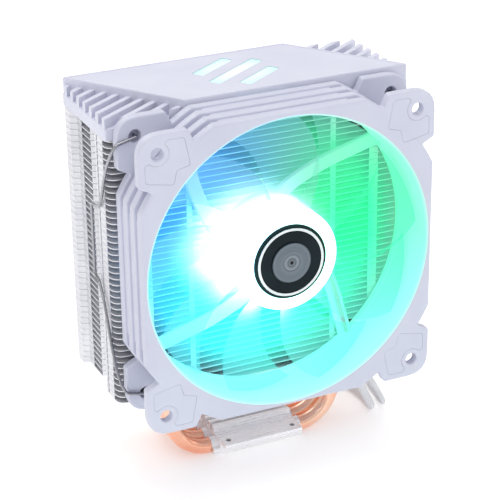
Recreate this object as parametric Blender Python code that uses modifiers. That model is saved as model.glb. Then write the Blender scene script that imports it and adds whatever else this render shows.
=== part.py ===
"""A CPU tower cooler: finned tower on four heat pipes, 120 mm fan, lit top cover.

Metres, +Z up. The origin is the centre of the base's contact face, and the fan faces -Y.
Run with: blender --background --python part.py
"""
import math

import bmesh
import bpy
from mathutils import Matrix, Vector

# ---- clearances ----
GAP = 0.0003                # between pieces that touch
OVERCUT = 0.002             # how far a cutter passes a face
MERGE = 0.00001             # weld distance

# ---- base and heat pipes ----
BLOCK_HALF_Y = 0.0168
FLANGE_HALF_Y = 0.0222
FLANGE_BOTTOM_Z = 0.0050
LIP_HALF_X = 0.020
LIP_TOP_Z = 0.0032
CAP_HALF_X = 0.0173
FLANGE_TOP_Z = 0.0070
RIDGE_TOP_Z = 0.0100
RIDGE_PITCH = 0.0038
RIDGE_WIDTH = 0.0019
RIDGE_COUNT = 6
THREAD_RADIUS = 0.0011
THREAD_X = 0.0143
THREAD_Y = 0.0185
PIPE_RADIUS = 0.0030
PIPE_AXIS_Z = 0.0027
PIPE_PITCH_Y = 0.0078
PIPE_COUNT = 4
PIPE_LEG_X = 0.036
PIPE_BEND_RADIUS = 0.016
PIPE_BEND_STEPS = 6
PIPE_TOP_Z = 0.1484

# ---- fin stack ----
FIN_BOTTOM_Z = 0.037
FIN_TOP_Z = 0.145
FIN_COUNT = 27
FIN_THICKNESS = 0.0005
FIN_HALF_X = 0.062
FIN_HALF_Y = 0.0228
FIN_CORNER = 0.0040
SIDE_RECESS = 0.0020
RECESS_FRONT_Y = -0.0097
RECESS_BACK_Y = 0.0170
SIDE_WALL = 0.0006

# ---- top cover and its light ----
COVER_HALF_X = 0.0624
COVER_BOTTOM_Z = FIN_TOP_Z + GAP
COVER_LIP_TOP_Z = 0.150
COVER_RIB_TOP_Z = 0.1538
COVER_TOP_Z = 0.1564
PLATE_SHORT_X = 0.031
COVER_RIB_COUNT = 10
COVER_RIB_START = 0.55       # share of the pitch before the first rib's middle
COVER_RIB_WIDTH = 0.0022
COVER_RIB_LENGTH = 0.040
LIGHT_BAY_HALF_X = 0.029
BAY_HALF_Y = 0.017
LIGHT_BAY_TOP_Z = 0.1549
PIPE_BAY_HALF_X = 0.046
PIPE_BAY_TOP_Z = 0.1490
LIGHT_BARS = ((-0.0105, 0.022), (0.0, 0.032), (0.0105, 0.022))   # offset, length
LIGHT_BAR_WIDTH = 0.0052
DIFFUSER_HALF_X = 0.024
DIFFUSER_HALF_Y = 0.0155
DIFFUSER_BOTTOM_Z = 0.1536
BOARD_BOTTOM_Z = 0.151
BOARD_THICKNESS = 0.0012
LED_SIZE = 0.003
LED_HEIGHT = 0.0011
LED_X = (-0.016, 0.0, 0.016)
LED_Y = (-0.009, 0.009)

# ---- fan: local +Z of a fan piece points forward, from the fan's back face ----
FAN_BACK_Y = -0.0235
FAN_CENTRE_Z = 0.095
FAN_DEPTH = 0.025
FAN_HALF = 0.06
SIDE_HALF = 0.05975
BODY_RADIUS = 0.0669
HOLE_HALF = 0.0525
HOLE_RADIUS = 0.00235
EAR_START = 0.0405
EAR_CORNER_RADIUS = 0.009
NOTCH_U = 0.038
NOTCH_V = 0.055
DUCT_RADIUS = 0.0577
FLANGE_THICKNESS = 0.004
FRAME_STEP = 0.007
CORE_INSET = 0.0005
CORE_HALF = 0.0589
CORE_RADIUS = 0.0642
STRUT_WIDTH = 0.0054
STRUT_COURSE = ((0.0150, 33.0), (0.0225, 22.3), (0.0300, 11.5), (0.0390, 2.7), (0.0480, -3.8),
                (0.0568, -8.0), (0.0605, -9.5))     # distance from the axis, degrees ahead of the corner
STRUT_LOW = 0.0006
STRUT_HIGH = 0.0032
HUB_MOUNT_RADIUS = 0.0208
HUB_MOUNT_LOW = 0.0008
HUB_MOUNT_HIGH = 0.0034
PAD_THICKNESS = 0.0008
PAD_SIDE = ((0.0574, 0.0487), (0.0574, 0.0421), (0.0466, 0.0400))
PAD_INNER = (0.0453, 0.0453)
PAD_NOTCH_RADIUS = 0.0045
PAD_NOTCH_ANGLES = (math.radians(131), math.radians(319))

# ---- fan motor and rotor ----
CUP_RADIUS = 0.0203
CUP_INNER_RADIUS = 0.0190
CUP_FRONT = 0.0227
CUP_REAR = 0.0044
CUP_WALL = 0.0015
BLADE_COUNT = 9
BLADE_ROOT_RADIUS = 0.0197
BLADE_TIP_RADIUS = 0.0562
BLADE_THICKNESS = 0.0011
BLADE_MID = 0.0145
BLADE_ROOT_HEIGHT = 0.0125
BLADE_TIP_HEIGHT = 0.0092
BLADE_ROOT_SPAN = math.radians(34)
BLADE_TIP_SPAN = math.radians(31)
BLADE_SWEEP = math.radians(20)
BLADE_CAMBER = 0.0011
CUP_CHAMFER = 0.0012
SHAFT_RADIUS = 0.0015
SHAFT_LOW = 0.0042
SLEEVE_INNER_RADIUS = 0.00185
SLEEVE_RADIUS = 0.0036
SLEEVE_HIGH = 0.0175
STATOR_LOW = 0.009
STATOR_HIGH = 0.015
STATOR_HUB_RADIUS = 0.0066
POLE_RADIUS = 0.0153
POLE_INNER_RADIUS = 0.0133
POLE_HALF_ANGLE = math.radians(36)
POLE_NECK_HALF = 0.0016
POLE_COUNT = 4
COIL_HALF_WIDTH = 0.0034
COIL_LOW = 0.0070
COIL_HIGH = 0.0170
MAGNET_INNER_RADIUS = 0.0162
MAGNET_RADIUS = 0.0176
MAGNET_LOW = 0.0082
MAGNET_HIGH = 0.0172
YOKE_INNER_RADIUS = 0.0179
YOKE_RADIUS = 0.0187
YOKE_LOW = 0.0078
YOKE_WALL = 0.0008
MOTOR_BOARD_RADIUS = 0.018
HUB_LED_RADIUS = 0.0145
HUB_LED_COUNT = 8
LABEL_RADIUS = 0.0165
LABEL_LOW = 0.0001
MOTOR_LEAD_RADIUS = 0.0008
BADGE_RADIUS = 0.015
BADGE_RING_RADII = (0.0126, 0.0137)
BADGE_FACE_RADIUS = 0.0123
BADGE_CAP_RADIUS = 0.008
BADGE_THICKNESS = 0.0005
BADGE_RING_THICKNESS = 0.0004
BADGE_FACE_THICKNESS = 0.0003

# ---- wire clips: x, y, and the two heights over and under the fan's centre ----
WIRE_RADIUS = 0.0006
CLIP_AXIS_Y = -0.026
CLIP_WIRE = ((0.0525, -0.0254, 0.0525, -0.0525), (0.0525, -0.0284, 0.0525, -0.0525),
             (0.0606, -0.0284, 0.0505, -0.0505), (0.0622, -0.0278, 0.0475, -0.0475),
             (0.0629, -0.0240, 0.0412, -0.0412), (0.0629, -0.0201, 0.0339, -0.0330),
             (0.0629, -0.0173, 0.0267, -0.0250), (0.0629, -0.0142, 0.0222, -0.0172),
             (0.0629, -0.0097, 0.0208, -0.0100), (0.0629, -0.0055, 0.0205, -0.0090))

# ---- leads ----
GROMMET_X = (0.0318, 0.0400)
GROMMET_Z = (0.0395, 0.0432)
FAN_LEAD_RADIUS = 0.0017
LIGHT_LEAD_RADIUS = 0.0012
FAN_LEAD_ROUTE = ((0.0338, -0.0255, 0.0392), (0.0343, -0.0255, 0.0342), (0.0370, -0.0258, 0.0298),
                  (0.0411, -0.0258, 0.0245), (0.0463, -0.0217, 0.0155), (0.0512, -0.0172, 0.0075),
                  (0.0545, -0.0115, 0.0028), (0.0560, -0.0040, 0.0017), (0.0560, 0.0040, 0.0017),
                  (0.0545, 0.0130, 0.0017), (0.0510, 0.0240, 0.0017), (0.0468, 0.0345, 0.0017),
                  (0.0450, 0.0420, 0.0017), (0.0446, 0.0473, 0.0017))
LIGHT_LEAD_ROUTE = ((0.0380, -0.0255, 0.0392), (0.0385, -0.0255, 0.0342), (0.0420, -0.0258, 0.0292),
                    (0.0465, -0.0258, 0.0240), (0.0519, -0.0217, 0.0160), (0.0570, -0.0172, 0.0080),
                    (0.0607, -0.0110, 0.0028), (0.0628, -0.0030, 0.0012), (0.0643, 0.0060, 0.0012),
                    (0.0672, 0.0160, 0.0012), (0.0728, 0.0270, 0.0012), (0.0800, 0.0365, 0.0012),
                    (0.0848, 0.0445, 0.0012), (0.0861, 0.0505, 0.0012))
ROUTE_STEPS = 3
FAN_COIL = {"centre": (0.0260, 0.0590), "radius": 0.0185, "turns": 1.25}
LIGHT_COIL = {"centre": (0.0730, 0.0590), "radius": 0.0132, "turns": 2.25}
FAN_PLUG = {"size": (0.0135, 0.0106, 0.0062), "reach": 0.0190}
LIGHT_PLUG = {"size": (0.0115, 0.0080, 0.0050), "reach": 0.0150}
TAIL_RISE = 0.0012

WHITE = (0.80, 0.82, 0.88)
parts = None
cutters = None


# ---- scene, materials and objects ----
def clear_scene():
    for obj in list(bpy.data.objects):
        bpy.data.objects.remove(obj, do_unlink=True)


def make_collection(name):
    collection = bpy.data.collections.new(name)
    bpy.context.scene.collection.children.link(collection)
    return collection


def material(name, colour, roughness, metallic=0.0, emission=0.0):
    mat = bpy.data.materials.new(name)
    mat.use_nodes = True
    shader = mat.node_tree.nodes["Principled BSDF"]
    shader.inputs["Base Color"].default_value = (*colour, 1.0)
    shader.inputs["Roughness"].default_value = roughness
    shader.inputs["Metallic"].default_value = metallic
    shader.inputs["Emission Color"].default_value = (*colour, 1.0)
    shader.inputs["Emission Strength"].default_value = emission
    return mat


def add_part(name, mesh, mat, matrix=None, smooth=True):
    obj = bpy.data.objects.new(name, mesh)
    obj.matrix_world = matrix or Matrix.Identity(4)
    mesh.materials.clear()
    mesh.materials.append(mat)
    if smooth:
        mesh.shade_smooth()
        mesh.set_sharp_from_angle(angle=math.radians(35))
    parts.objects.link(obj)
    return obj


def add_cutter(name, mesh, matrix=None):
    obj = bpy.data.objects.new(name, mesh)
    obj.matrix_world = matrix or Matrix.Identity(4)
    obj.hide_render = True
    obj.display_type = "WIRE"
    cutters.objects.link(obj)
    return obj


def combine(obj, operation, other):
    modifier = obj.modifiers.new(other.name, "BOOLEAN")
    modifier.operation = operation
    modifier.solver = "EXACT"
    modifier.object = other


# ---- shapes ----
def bmesh_to_mesh(bm, name):
    mesh = bpy.data.meshes.new(name)
    bm.to_mesh(mesh)
    bm.free()
    return mesh


def boxes_mesh(name, boxes):
    """One mesh of boxes, each (low corner, high corner) or (low, high, turn about Z, pivot)."""
    bm = bmesh.new()
    for low, high, *turned in boxes:
        low, high = Vector(low), Vector(high)
        place = Matrix.Translation((low + high) / 2) @ Matrix.Diagonal((*(high - low), 1.0))
        if turned:
            angle, pivot = turned
            place = Matrix.Translation(pivot) @ Matrix.Rotation(angle, 4, "Z") @ place
        bmesh.ops.create_cube(bm, size=1.0, matrix=place)
    return bmesh_to_mesh(bm, name)


def cylinders_mesh(name, cylinders, sides):
    """One mesh of upright cylinders, each (x, y, radius, low z, high z)."""
    bm = bmesh.new()
    for x, y, radius, low, high in cylinders:
        place = Matrix.Translation((x, y, (low + high) / 2))
        bmesh.ops.create_cone(bm, cap_ends=True, segments=sides, radius1=radius, radius2=radius,
                              depth=high - low, matrix=place)
    return bmesh_to_mesh(bm, name)


def arc(centre, radius, start, end, steps):
    angles = [start + (end - start) * i / steps for i in range(steps + 1)]
    return [(centre[0] + radius * math.cos(a), centre[1] + radius * math.sin(a)) for a in angles]


def circle(centre, radius, sides):
    return arc(centre, radius, 0.0, math.tau * (sides - 1) / sides, sides - 1)


def curve_to_mesh(name, curve):
    """The evaluated mesh of a curve, with its loose caps welded."""
    guide = bpy.data.objects.new(name + "_guide", curve)
    bpy.context.scene.collection.objects.link(guide)
    depsgraph = bpy.context.evaluated_depsgraph_get()
    mesh = bpy.data.meshes.new_from_object(guide.evaluated_get(depsgraph))
    bpy.data.objects.remove(guide, do_unlink=True)
    bm = bmesh.new()
    bm.from_mesh(mesh)
    bmesh.ops.remove_doubles(bm, verts=bm.verts, dist=MERGE)
    bmesh.ops.recalc_face_normals(bm, faces=bm.faces)
    bm.to_mesh(mesh)
    bm.free()
    mesh.name = name
    return mesh


def plate_mesh(name, outlines, low, high):
    """A flat plate from 2D outlines: outer ones and the holes inside them, from low to high in Z."""
    curve = bpy.data.curves.new(name, "CURVE")
    curve.dimensions = "2D"
    curve.fill_mode = "BOTH"
    curve.extrude = (high - low) / 2
    for outline in outlines:
        spline = curve.splines.new("POLY")
        spline.points.add(len(outline) - 1)
        for point, (u, v) in zip(spline.points, outline):
            point.co = (u, v, 0.0, 1.0)
        spline.use_cyclic_u = True
    mesh = curve_to_mesh(name, curve)
    mesh.transform(Matrix.Translation((0.0, 0.0, (low + high) / 2)))
    return mesh


def tube_mesh(name, points, radius):
    curve = bpy.data.curves.new(name, "CURVE")
    curve.dimensions = "3D"
    curve.bevel_depth = radius
    curve.bevel_resolution = 2
    curve.use_fill_caps = True
    spline = curve.splines.new("POLY")
    spline.points.add(len(points) - 1)
    for point, place in zip(spline.points, points):
        point.co = (*place, 1.0)
    return curve_to_mesh(name, curve)


def turned_part(name, profile, mat, matrix, steps, closed):
    """A turned piece: a profile in the XZ plane, down its outer side, and a Screw modifier."""
    bm = bmesh.new()
    verts = [bm.verts.new((x, 0.0, z)) for x, z in profile]
    for first, second in zip(verts, verts[1:]):
        bm.edges.new((first, second))
    if closed:
        bm.edges.new((verts[-1], verts[0]))
    obj = add_part(name, bmesh_to_mesh(bm, name), mat, matrix, smooth=False)
    screw = obj.modifiers.new("turn", "SCREW")
    screw.steps = steps
    screw.render_steps = steps
    screw.use_merge_vertices = True
    screw.merge_threshold = MERGE
    screw.use_smooth_shade = False
    return obj


def disc_profile(radius, low, high):
    return ((0.0, high), (radius, high), (radius, low), (0.0, low))


def ring_profile(inner, outer, low, high):
    return ((inner, high), (outer, high), (outer, low), (inner, low))


def smooth_route(points, steps):
    """Points on a Catmull-Rom curve through the route's own points."""
    ends = [Vector(points[0]) * 2 - Vector(points[1])] + [Vector(p) for p in points]
    ends.append(ends[-1] * 2 - ends[-2])
    route = []
    for a, b, c, d in zip(ends, ends[1:], ends[2:], ends[3:]):
        for i in range(steps):
            t = i / steps
            route.append(0.5 * (2 * b + (c - a) * t + (2 * a - 5 * b + 4 * c - d) * t * t
                                + (3 * b - a - 3 * c + d) * t ** 3))
    return route + [Vector(points[-1])]


# ---- base and heat pipes ----
def pipe_rows():
    return [(i - (PIPE_COUNT - 1) / 2) * PIPE_PITCH_Y for i in range(PIPE_COUNT)]


def make_base():
    mesh = boxes_mesh("base_block", [((-CAP_HALF_X, -FLANGE_HALF_Y, FLANGE_BOTTOM_Z),
                                      (CAP_HALF_X, FLANGE_HALF_Y, RIDGE_TOP_Z))])
    base = add_part("base_block", mesh, material("base_aluminium", (0.83, 0.84, 0.86), 0.28, 1.0), smooth=False)
    block = boxes_mesh("base_body", [((-CAP_HALF_X, -BLOCK_HALF_Y, LIP_TOP_Z - CORE_INSET),
                                      (CAP_HALF_X, BLOCK_HALF_Y, FLANGE_BOTTOM_Z + CORE_INSET))])
    combine(base, "UNION", add_cutter("base_body", block))
    lip = boxes_mesh("base_lip", [((-LIP_HALF_X, -BLOCK_HALF_Y, 0.0), (LIP_HALF_X, BLOCK_HALF_Y, LIP_TOP_Z))])
    combine(base, "UNION", add_cutter("base_lip", lip))
    ridges_end = (RIDGE_COUNT - 1) / 2 * RIDGE_PITCH + RIDGE_WIDTH / 2
    far_x = CAP_HALF_X + OVERCUT
    far_y = FLANGE_HALF_Y + OVERCUT
    top = RIDGE_TOP_Z + OVERCUT
    cuts = [((-far_x, -far_y, FLANGE_TOP_Z), (far_x, -ridges_end, top)),
            ((-far_x, ridges_end, FLANGE_TOP_Z), (far_x, far_y, top))]
    for i in range(RIDGE_COUNT - 1):
        middle = (i - (RIDGE_COUNT - 2) / 2) * RIDGE_PITCH
        half = (RIDGE_PITCH - RIDGE_WIDTH) / 2
        cuts.append(((-far_x, middle - half, FLANGE_TOP_Z), (far_x, middle + half, top)))
    combine(base, "DIFFERENCE", add_cutter("base_grooves", boxes_mesh("base_grooves", cuts)))
    radius = PIPE_RADIUS + GAP
    channels = []
    for y in pipe_rows():
        crown = arc((y, PIPE_AXIS_Z), radius, 0.0, math.pi, 8)
        channels.append([(y + radius, -OVERCUT)] + crown + [(y - radius, -OVERCUT)])
    half_length = LIP_HALF_X + OVERCUT
    along_x = Matrix(((0, 0, 1, 0), (1, 0, 0, 0), (0, 1, 0, 0), (0, 0, 0, 1)))
    mesh = plate_mesh("pipe_channels", channels, -half_length, half_length)
    combine(base, "DIFFERENCE", add_cutter("pipe_channels", mesh, along_x))
    threads = [(x, y, THREAD_RADIUS, FLANGE_BOTTOM_Z - OVERCUT, top)
               for x in (-THREAD_X, THREAD_X) for y in (-THREAD_Y, THREAD_Y)]
    combine(base, "DIFFERENCE", add_cutter("base_threads", cylinders_mesh("base_threads", threads, 12)))


def pipe_route(y):
    """One U-shaped pipe: down a leg, round a bend, through the base and up again."""
    bend_x = PIPE_LEG_X - PIPE_BEND_RADIUS
    bend_z = PIPE_AXIS_Z + PIPE_BEND_RADIUS
    right = arc((bend_x, bend_z), PIPE_BEND_RADIUS, -math.pi / 2, 0.0, PIPE_BEND_STEPS)
    right.append((PIPE_LEG_X, PIPE_TOP_Z))
    left = [(-x, z) for x, z in reversed(right)]
    return [(x, y, z) for x, z in left + right]


def make_pipes():
    copper = material("copper", (0.93, 0.55, 0.38), 0.22, 1.0)
    low, high = (-0.03, -0.03, -0.01), (0.03, 0.03, 0.0)
    ground = add_cutter("pipe_grinding", boxes_mesh("pipe_grinding", [(low, high)]))
    for number, y in enumerate(pipe_rows(), 1):
        name = f"heat_pipe_{number}"
        pipe = add_part(name, tube_mesh(name, pipe_route(y), PIPE_RADIUS), copper)
        combine(pipe, "DIFFERENCE", ground)


# ---- fin stack ----
def fin_outline():
    right = [(FIN_HALF_X - FIN_CORNER, -FIN_HALF_Y), (FIN_HALF_X, -FIN_HALF_Y + FIN_CORNER),
             (FIN_HALF_X, RECESS_FRONT_Y), (FIN_HALF_X - SIDE_RECESS, RECESS_FRONT_Y + SIDE_RECESS),
             (FIN_HALF_X - SIDE_RECESS, RECESS_BACK_Y - SIDE_RECESS), (FIN_HALF_X, RECESS_BACK_Y),
             (FIN_HALF_X, FIN_HALF_Y)]
    return right + [(-x, y) for x, y in reversed(right)]


def make_fins():
    mesh = plate_mesh("fin_stack", [fin_outline()], FIN_BOTTOM_Z, FIN_TOP_Z)
    fins = add_part("fin_stack", mesh, material("fin_aluminium", (0.90, 0.91, 0.93), 0.3, 1.0), smooth=False)
    pitch = (FIN_TOP_Z - FIN_BOTTOM_Z - FIN_THICKNESS) / (FIN_COUNT - 1)
    slot_x = FIN_HALF_X - SIDE_RECESS - SIDE_WALL
    slot_y = FIN_HALF_Y + OVERCUT
    slots = []
    for i in range(FIN_COUNT - 1):
        bottom = FIN_BOTTOM_Z + i * pitch + FIN_THICKNESS
        slots.append(((-slot_x, -slot_y, bottom), (slot_x, slot_y, bottom + pitch - FIN_THICKNESS)))
    combine(fins, "DIFFERENCE", add_cutter("fin_slots", boxes_mesh("fin_slots", slots)))
    half = PIPE_RADIUS + GAP
    holes = []
    for x in (-PIPE_LEG_X, PIPE_LEG_X):
        for y in pipe_rows():
            holes.append(((x - half, y - half, FIN_BOTTOM_Z - OVERCUT), (x + half, y + half, FIN_TOP_Z + OVERCUT)))
    combine(fins, "DIFFERENCE", add_cutter("fin_pipe_holes", boxes_mesh("fin_pipe_holes", holes)))


# ---- top cover and its light ----
def end_slope():
    """The slanted end of the cover's plate: start corner, direction and length."""
    start = Vector((-COVER_HALF_X, FIN_HALF_Y))
    end = Vector((-PLATE_SHORT_X, -FIN_HALF_Y))
    return start, (end - start).normalized(), (end - start).length


def rib_boxes(low, high):
    """Ribs square to the plate's slanted ends, the second end turned half round from the first."""
    start, along, length = end_slope()
    angle = math.atan2(along.y, along.x)
    pitch = length / COVER_RIB_COUNT
    boxes = []
    for half_turn in (0.0, math.pi):
        turn = Matrix.Rotation(half_turn, 2)
        for i in range(COVER_RIB_COUNT):
            middle = turn @ (start + along * pitch * (i + COVER_RIB_START))
            boxes.append(((-COVER_RIB_WIDTH / 2, -COVER_RIB_LENGTH, low), (COVER_RIB_WIDTH / 2, OVERCUT, high),
                          angle + half_turn, (middle.x, middle.y, 0.0)))
    return boxes


def light_bars(width, grow, low, high):
    """The three parallel light bars, which run the way the ribs do."""
    across = end_slope()[1]
    angle = math.atan2(across.x, -across.y)
    boxes = []
    for offset, length in LIGHT_BARS:
        boxes.append(((-length / 2 - grow, -width / 2, low), (length / 2 + grow, width / 2, high),
                      angle, (across.x * offset, across.y * offset, 0.0)))
    return boxes


def make_cover():
    low = COVER_LIP_TOP_Z - CORE_INSET
    cover = add_part("top_cover", boxes_mesh("top_cover", rib_boxes(low, COVER_RIB_TOP_Z)),
                     material("cover_white", WHITE, 0.35), smooth=False)
    room = boxes_mesh("cover_footprint", [((-COVER_HALF_X, -FIN_HALF_Y, COVER_BOTTOM_Z),
                                           (COVER_HALF_X, FIN_HALF_Y, COVER_TOP_Z))])
    combine(cover, "INTERSECT", add_cutter("cover_footprint", room))
    lip = boxes_mesh("cover_lip", [((-COVER_HALF_X, -FIN_HALF_Y, COVER_BOTTOM_Z),
                                    (COVER_HALF_X, FIN_HALF_Y, COVER_LIP_TOP_Z))])
    combine(cover, "UNION", add_cutter("cover_lip", lip))
    corners = [(-COVER_HALF_X, FIN_HALF_Y), (-PLATE_SHORT_X, -FIN_HALF_Y),
               (COVER_HALF_X, -FIN_HALF_Y), (PLATE_SHORT_X, FIN_HALF_Y)]
    plate = plate_mesh("cover_plate", [corners], COVER_LIP_TOP_Z - 2 * CORE_INSET, COVER_TOP_Z)
    combine(cover, "UNION", add_cutter("cover_plate", plate))
    floor = COVER_BOTTOM_Z - OVERCUT
    light_bay = boxes_mesh("light_bay", [((-LIGHT_BAY_HALF_X, -BAY_HALF_Y, floor),
                                          (LIGHT_BAY_HALF_X, BAY_HALF_Y, LIGHT_BAY_TOP_Z))])
    combine(cover, "DIFFERENCE", add_cutter("light_bay", light_bay))
    pipe_bay = boxes_mesh("pipe_bay", [((-PIPE_BAY_HALF_X, -BAY_HALF_Y, floor),
                                        (PIPE_BAY_HALF_X, BAY_HALF_Y, PIPE_BAY_TOP_Z))])
    combine(cover, "DIFFERENCE", add_cutter("pipe_bay", pipe_bay))
    windows = light_bars(LIGHT_BAR_WIDTH, 0.0, LIGHT_BAY_TOP_Z - OVERCUT, COVER_TOP_Z + OVERCUT)
    combine(cover, "DIFFERENCE", add_cutter("cover_windows", boxes_mesh("cover_windows", windows)))


def make_top_light():
    glow = material("diffuser_white", (0.95, 1.0, 0.98), 0.4, emission=2.0)
    mesh = boxes_mesh("light_diffuser", [((-DIFFUSER_HALF_X, -DIFFUSER_HALF_Y, DIFFUSER_BOTTOM_Z),
                                          (DIFFUSER_HALF_X, DIFFUSER_HALF_Y, LIGHT_BAY_TOP_Z - GAP))])
    diffuser = add_part("light_diffuser", mesh, glow, smooth=False)
    bars = light_bars(LIGHT_BAR_WIDTH - 2 * GAP, -GAP, DIFFUSER_BOTTOM_Z + GAP, COVER_TOP_Z - GAP)
    combine(diffuser, "UNION", add_cutter("diffuser_bars", boxes_mesh("diffuser_bars", bars)))
    top = BOARD_BOTTOM_Z + BOARD_THICKNESS
    mesh = boxes_mesh("light_board", [((-DIFFUSER_HALF_X, -DIFFUSER_HALF_Y, BOARD_BOTTOM_Z),
                                       (DIFFUSER_HALF_X, DIFFUSER_HALF_Y, top))])
    board = add_part("light_board", mesh, material("board_green", (0.05, 0.22, 0.10), 0.45), smooth=False)
    half = LED_SIZE / 2
    leds = [((x - half, y - half, top - GAP), (x + half, y + half, top + LED_HEIGHT))
            for x in LED_X for y in LED_Y]
    combine(board, "UNION", add_cutter("light_board_leds", boxes_mesh("light_board_leds", leds)))


# ---- fan frame ----
def fan_matrix():
    """Fan pieces: local +Z forward (world -Y), local +Y up, local +X to the right seen from the front."""
    return Matrix.Translation((0.0, FAN_BACK_Y, FAN_CENTRE_Z)) @ Matrix.Rotation(math.pi / 2, 4, "X")


def four_quadrants(quadrant):
    """A closed outline from the part of it in the first quadrant, going anticlockwise."""
    outline = []
    for turn in range(4):
        matrix = Matrix.Rotation(turn * math.pi / 2, 2)
        outline += [tuple(matrix @ Vector(p)) for p in quadrant]
    return outline


def body_outline(half, radius, steps):
    start = math.acos(half / radius)
    return four_quadrants(arc((0.0, 0.0), radius, start, math.pi / 2 - start, steps))


def ear_outline():
    corner = FAN_HALF - EAR_CORNER_RADIUS
    shoulder = math.sqrt(BODY_RADIUS ** 2 - SIDE_HALF ** 2)
    quadrant = [(SIDE_HALF, shoulder), (NOTCH_V, NOTCH_U), (FAN_HALF, EAR_START)]
    quadrant += arc((corner, corner), EAR_CORNER_RADIUS, 0.0, math.pi / 2, 5)
    quadrant += [(EAR_START, FAN_HALF), (NOTCH_U, NOTCH_V), (shoulder, SIDE_HALF)]
    return four_quadrants(quadrant)


def corner_signs():
    return [(1, 1), (-1, 1), (-1, -1), (1, -1)]


def screw_holes():
    return [circle((u * HOLE_HALF, v * HOLE_HALF), HOLE_RADIUS, 12) for u, v in corner_signs()]


def grown(outline, distance):
    """A clockwise outline with every side moved outwards by a distance."""
    points = [Vector(p) for p in outline]
    result = []
    for before, here, after in zip(points[-1:] + points[:-1], points, points[1:] + points[:1]):
        arriving, leaving = (here - before).normalized(), (after - here).normalized()
        first, second = Vector((-arriving.y, arriving.x)), Vector((-leaving.y, leaving.x))
        mitre = (first + second).normalized()
        result.append(tuple(here + mitre * distance / mitre.dot(first)))
    return result


def pad_outline(grow):
    """The corner pad in the first quadrant, notched round the screw hole."""
    other = [(y, x) for x, y in reversed(PAD_SIDE)]
    notch = arc((HOLE_HALF, HOLE_HALF), PAD_NOTCH_RADIUS, *PAD_NOTCH_ANGLES, 6)
    return grown([*PAD_SIDE, PAD_INNER, *other, *notch], grow)


def turned_outline(outline, quarter):
    matrix = Matrix.Rotation(quarter * math.pi / 2, 2)
    return [tuple(matrix @ Vector(p)) for p in outline]


def at_angle(radius, angle):
    return radius * math.cos(angle), radius * math.sin(angle)


def strut_course(corner):
    """Points along the middle of the strut that bends round to the given corner's direction."""
    return [Vector(at_angle(radius, corner + math.radians(ahead))) for radius, ahead in STRUT_COURSE]


def strut_outline(corner):
    points = strut_course(corner)
    near, far = [], []
    for before, here, after in zip(points[:1] + points, points, points[1:] + points[-1:]):
        along = (after - before).normalized()
        square = Vector((-along.y, along.x)) * STRUT_WIDTH / 2
        near.append(tuple(here - square))
        far.append(tuple(here + square))
    return near + far[::-1]


def make_frame():
    white = material("fan_white", WHITE, 0.4)
    place = fan_matrix()
    core = plate_mesh("fan_frame", [body_outline(CORE_HALF, CORE_RADIUS, 6)], CORE_INSET, FAN_DEPTH - CORE_INSET)
    frame = add_part("fan_frame", core, white, place, smooth=False)
    holes = screw_holes()
    for name, low, outline in (("rear_flange", 0.0, [ear_outline()] + holes),
                               ("rear_ridge", FRAME_STEP, [body_outline(SIDE_HALF, BODY_RADIUS, 6)]),
                               ("front_ridge", 2 * FRAME_STEP, [body_outline(SIDE_HALF, BODY_RADIUS, 6)]),
                               ("front_flange", 3 * FRAME_STEP, [ear_outline()] + holes)):
        mesh = plate_mesh(name, outline, low, low + FLANGE_THICKNESS)
        combine(frame, "UNION", add_cutter(name, mesh, place))
    duct = cylinders_mesh("duct_bore", [(0.0, 0.0, DUCT_RADIUS, -OVERCUT, FAN_DEPTH + OVERCUT)], 48)
    combine(frame, "DIFFERENCE", add_cutter("duct_bore", duct, place))
    for i in range(4):
        strut = plate_mesh(f"strut_{i + 1}", [strut_outline(math.radians(45 + 90 * i))], STRUT_LOW, STRUT_HIGH)
        combine(frame, "UNION", add_cutter(f"strut_{i + 1}", strut, place))
    mount = [(0.0, 0.0, HUB_MOUNT_RADIUS, HUB_MOUNT_LOW, HUB_MOUNT_HIGH)]
    combine(frame, "UNION", add_cutter("hub_mount", cylinders_mesh("hub_mount", mount, 32), place))
    recesses = pad_recesses()
    combine(frame, "DIFFERENCE", add_cutter("pad_recesses", recesses, place))
    slot_floor = FAN_CENTRE_Z - FAN_HALF - OVERCUT
    slot = boxes_mesh("lead_slot", [((GROMMET_X[0] - GAP, FAN_BACK_Y - FLANGE_THICKNESS - GAP, slot_floor),
                                     (GROMMET_X[1] + GAP, FAN_BACK_Y + OVERCUT, GROMMET_Z[1] + GAP))])
    combine(frame, "DIFFERENCE", add_cutter("lead_slot", slot))
    grommet = boxes_mesh("lead_grommet", [((GROMMET_X[0], FAN_BACK_Y - FLANGE_THICKNESS, GROMMET_Z[0]),
                                           (GROMMET_X[1], FAN_BACK_Y - GAP, GROMMET_Z[1]))])
    add_part("lead_grommet", grommet, material("grommet_grey", (0.55, 0.56, 0.60), 0.6), smooth=False)


def pad_recesses():
    bm = bmesh.new()
    depth = PAD_THICKNESS + GAP
    for low, high in ((-OVERCUT, depth), (FAN_DEPTH - depth, FAN_DEPTH + OVERCUT)):
        outlines = [turned_outline(pad_outline(GAP), i) for i in range(4)]
        bm.from_mesh(plate_mesh("pad_recess", outlines, low, high))
    return bmesh_to_mesh(bm, "pad_recesses")


def make_pads():
    pad_white = material("pad_white", (0.78, 0.80, 0.87), 0.6)
    for side, low in (("front", FAN_DEPTH - PAD_THICKNESS), ("rear", 0.0)):
        for i in range(4):
            name = f"{side}_pad_{i + 1}"
            mesh = plate_mesh(name, [turned_outline(pad_outline(0.0), i)], low, low + PAD_THICKNESS)
            add_part(name, mesh, pad_white, fan_matrix(), smooth=False)


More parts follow.
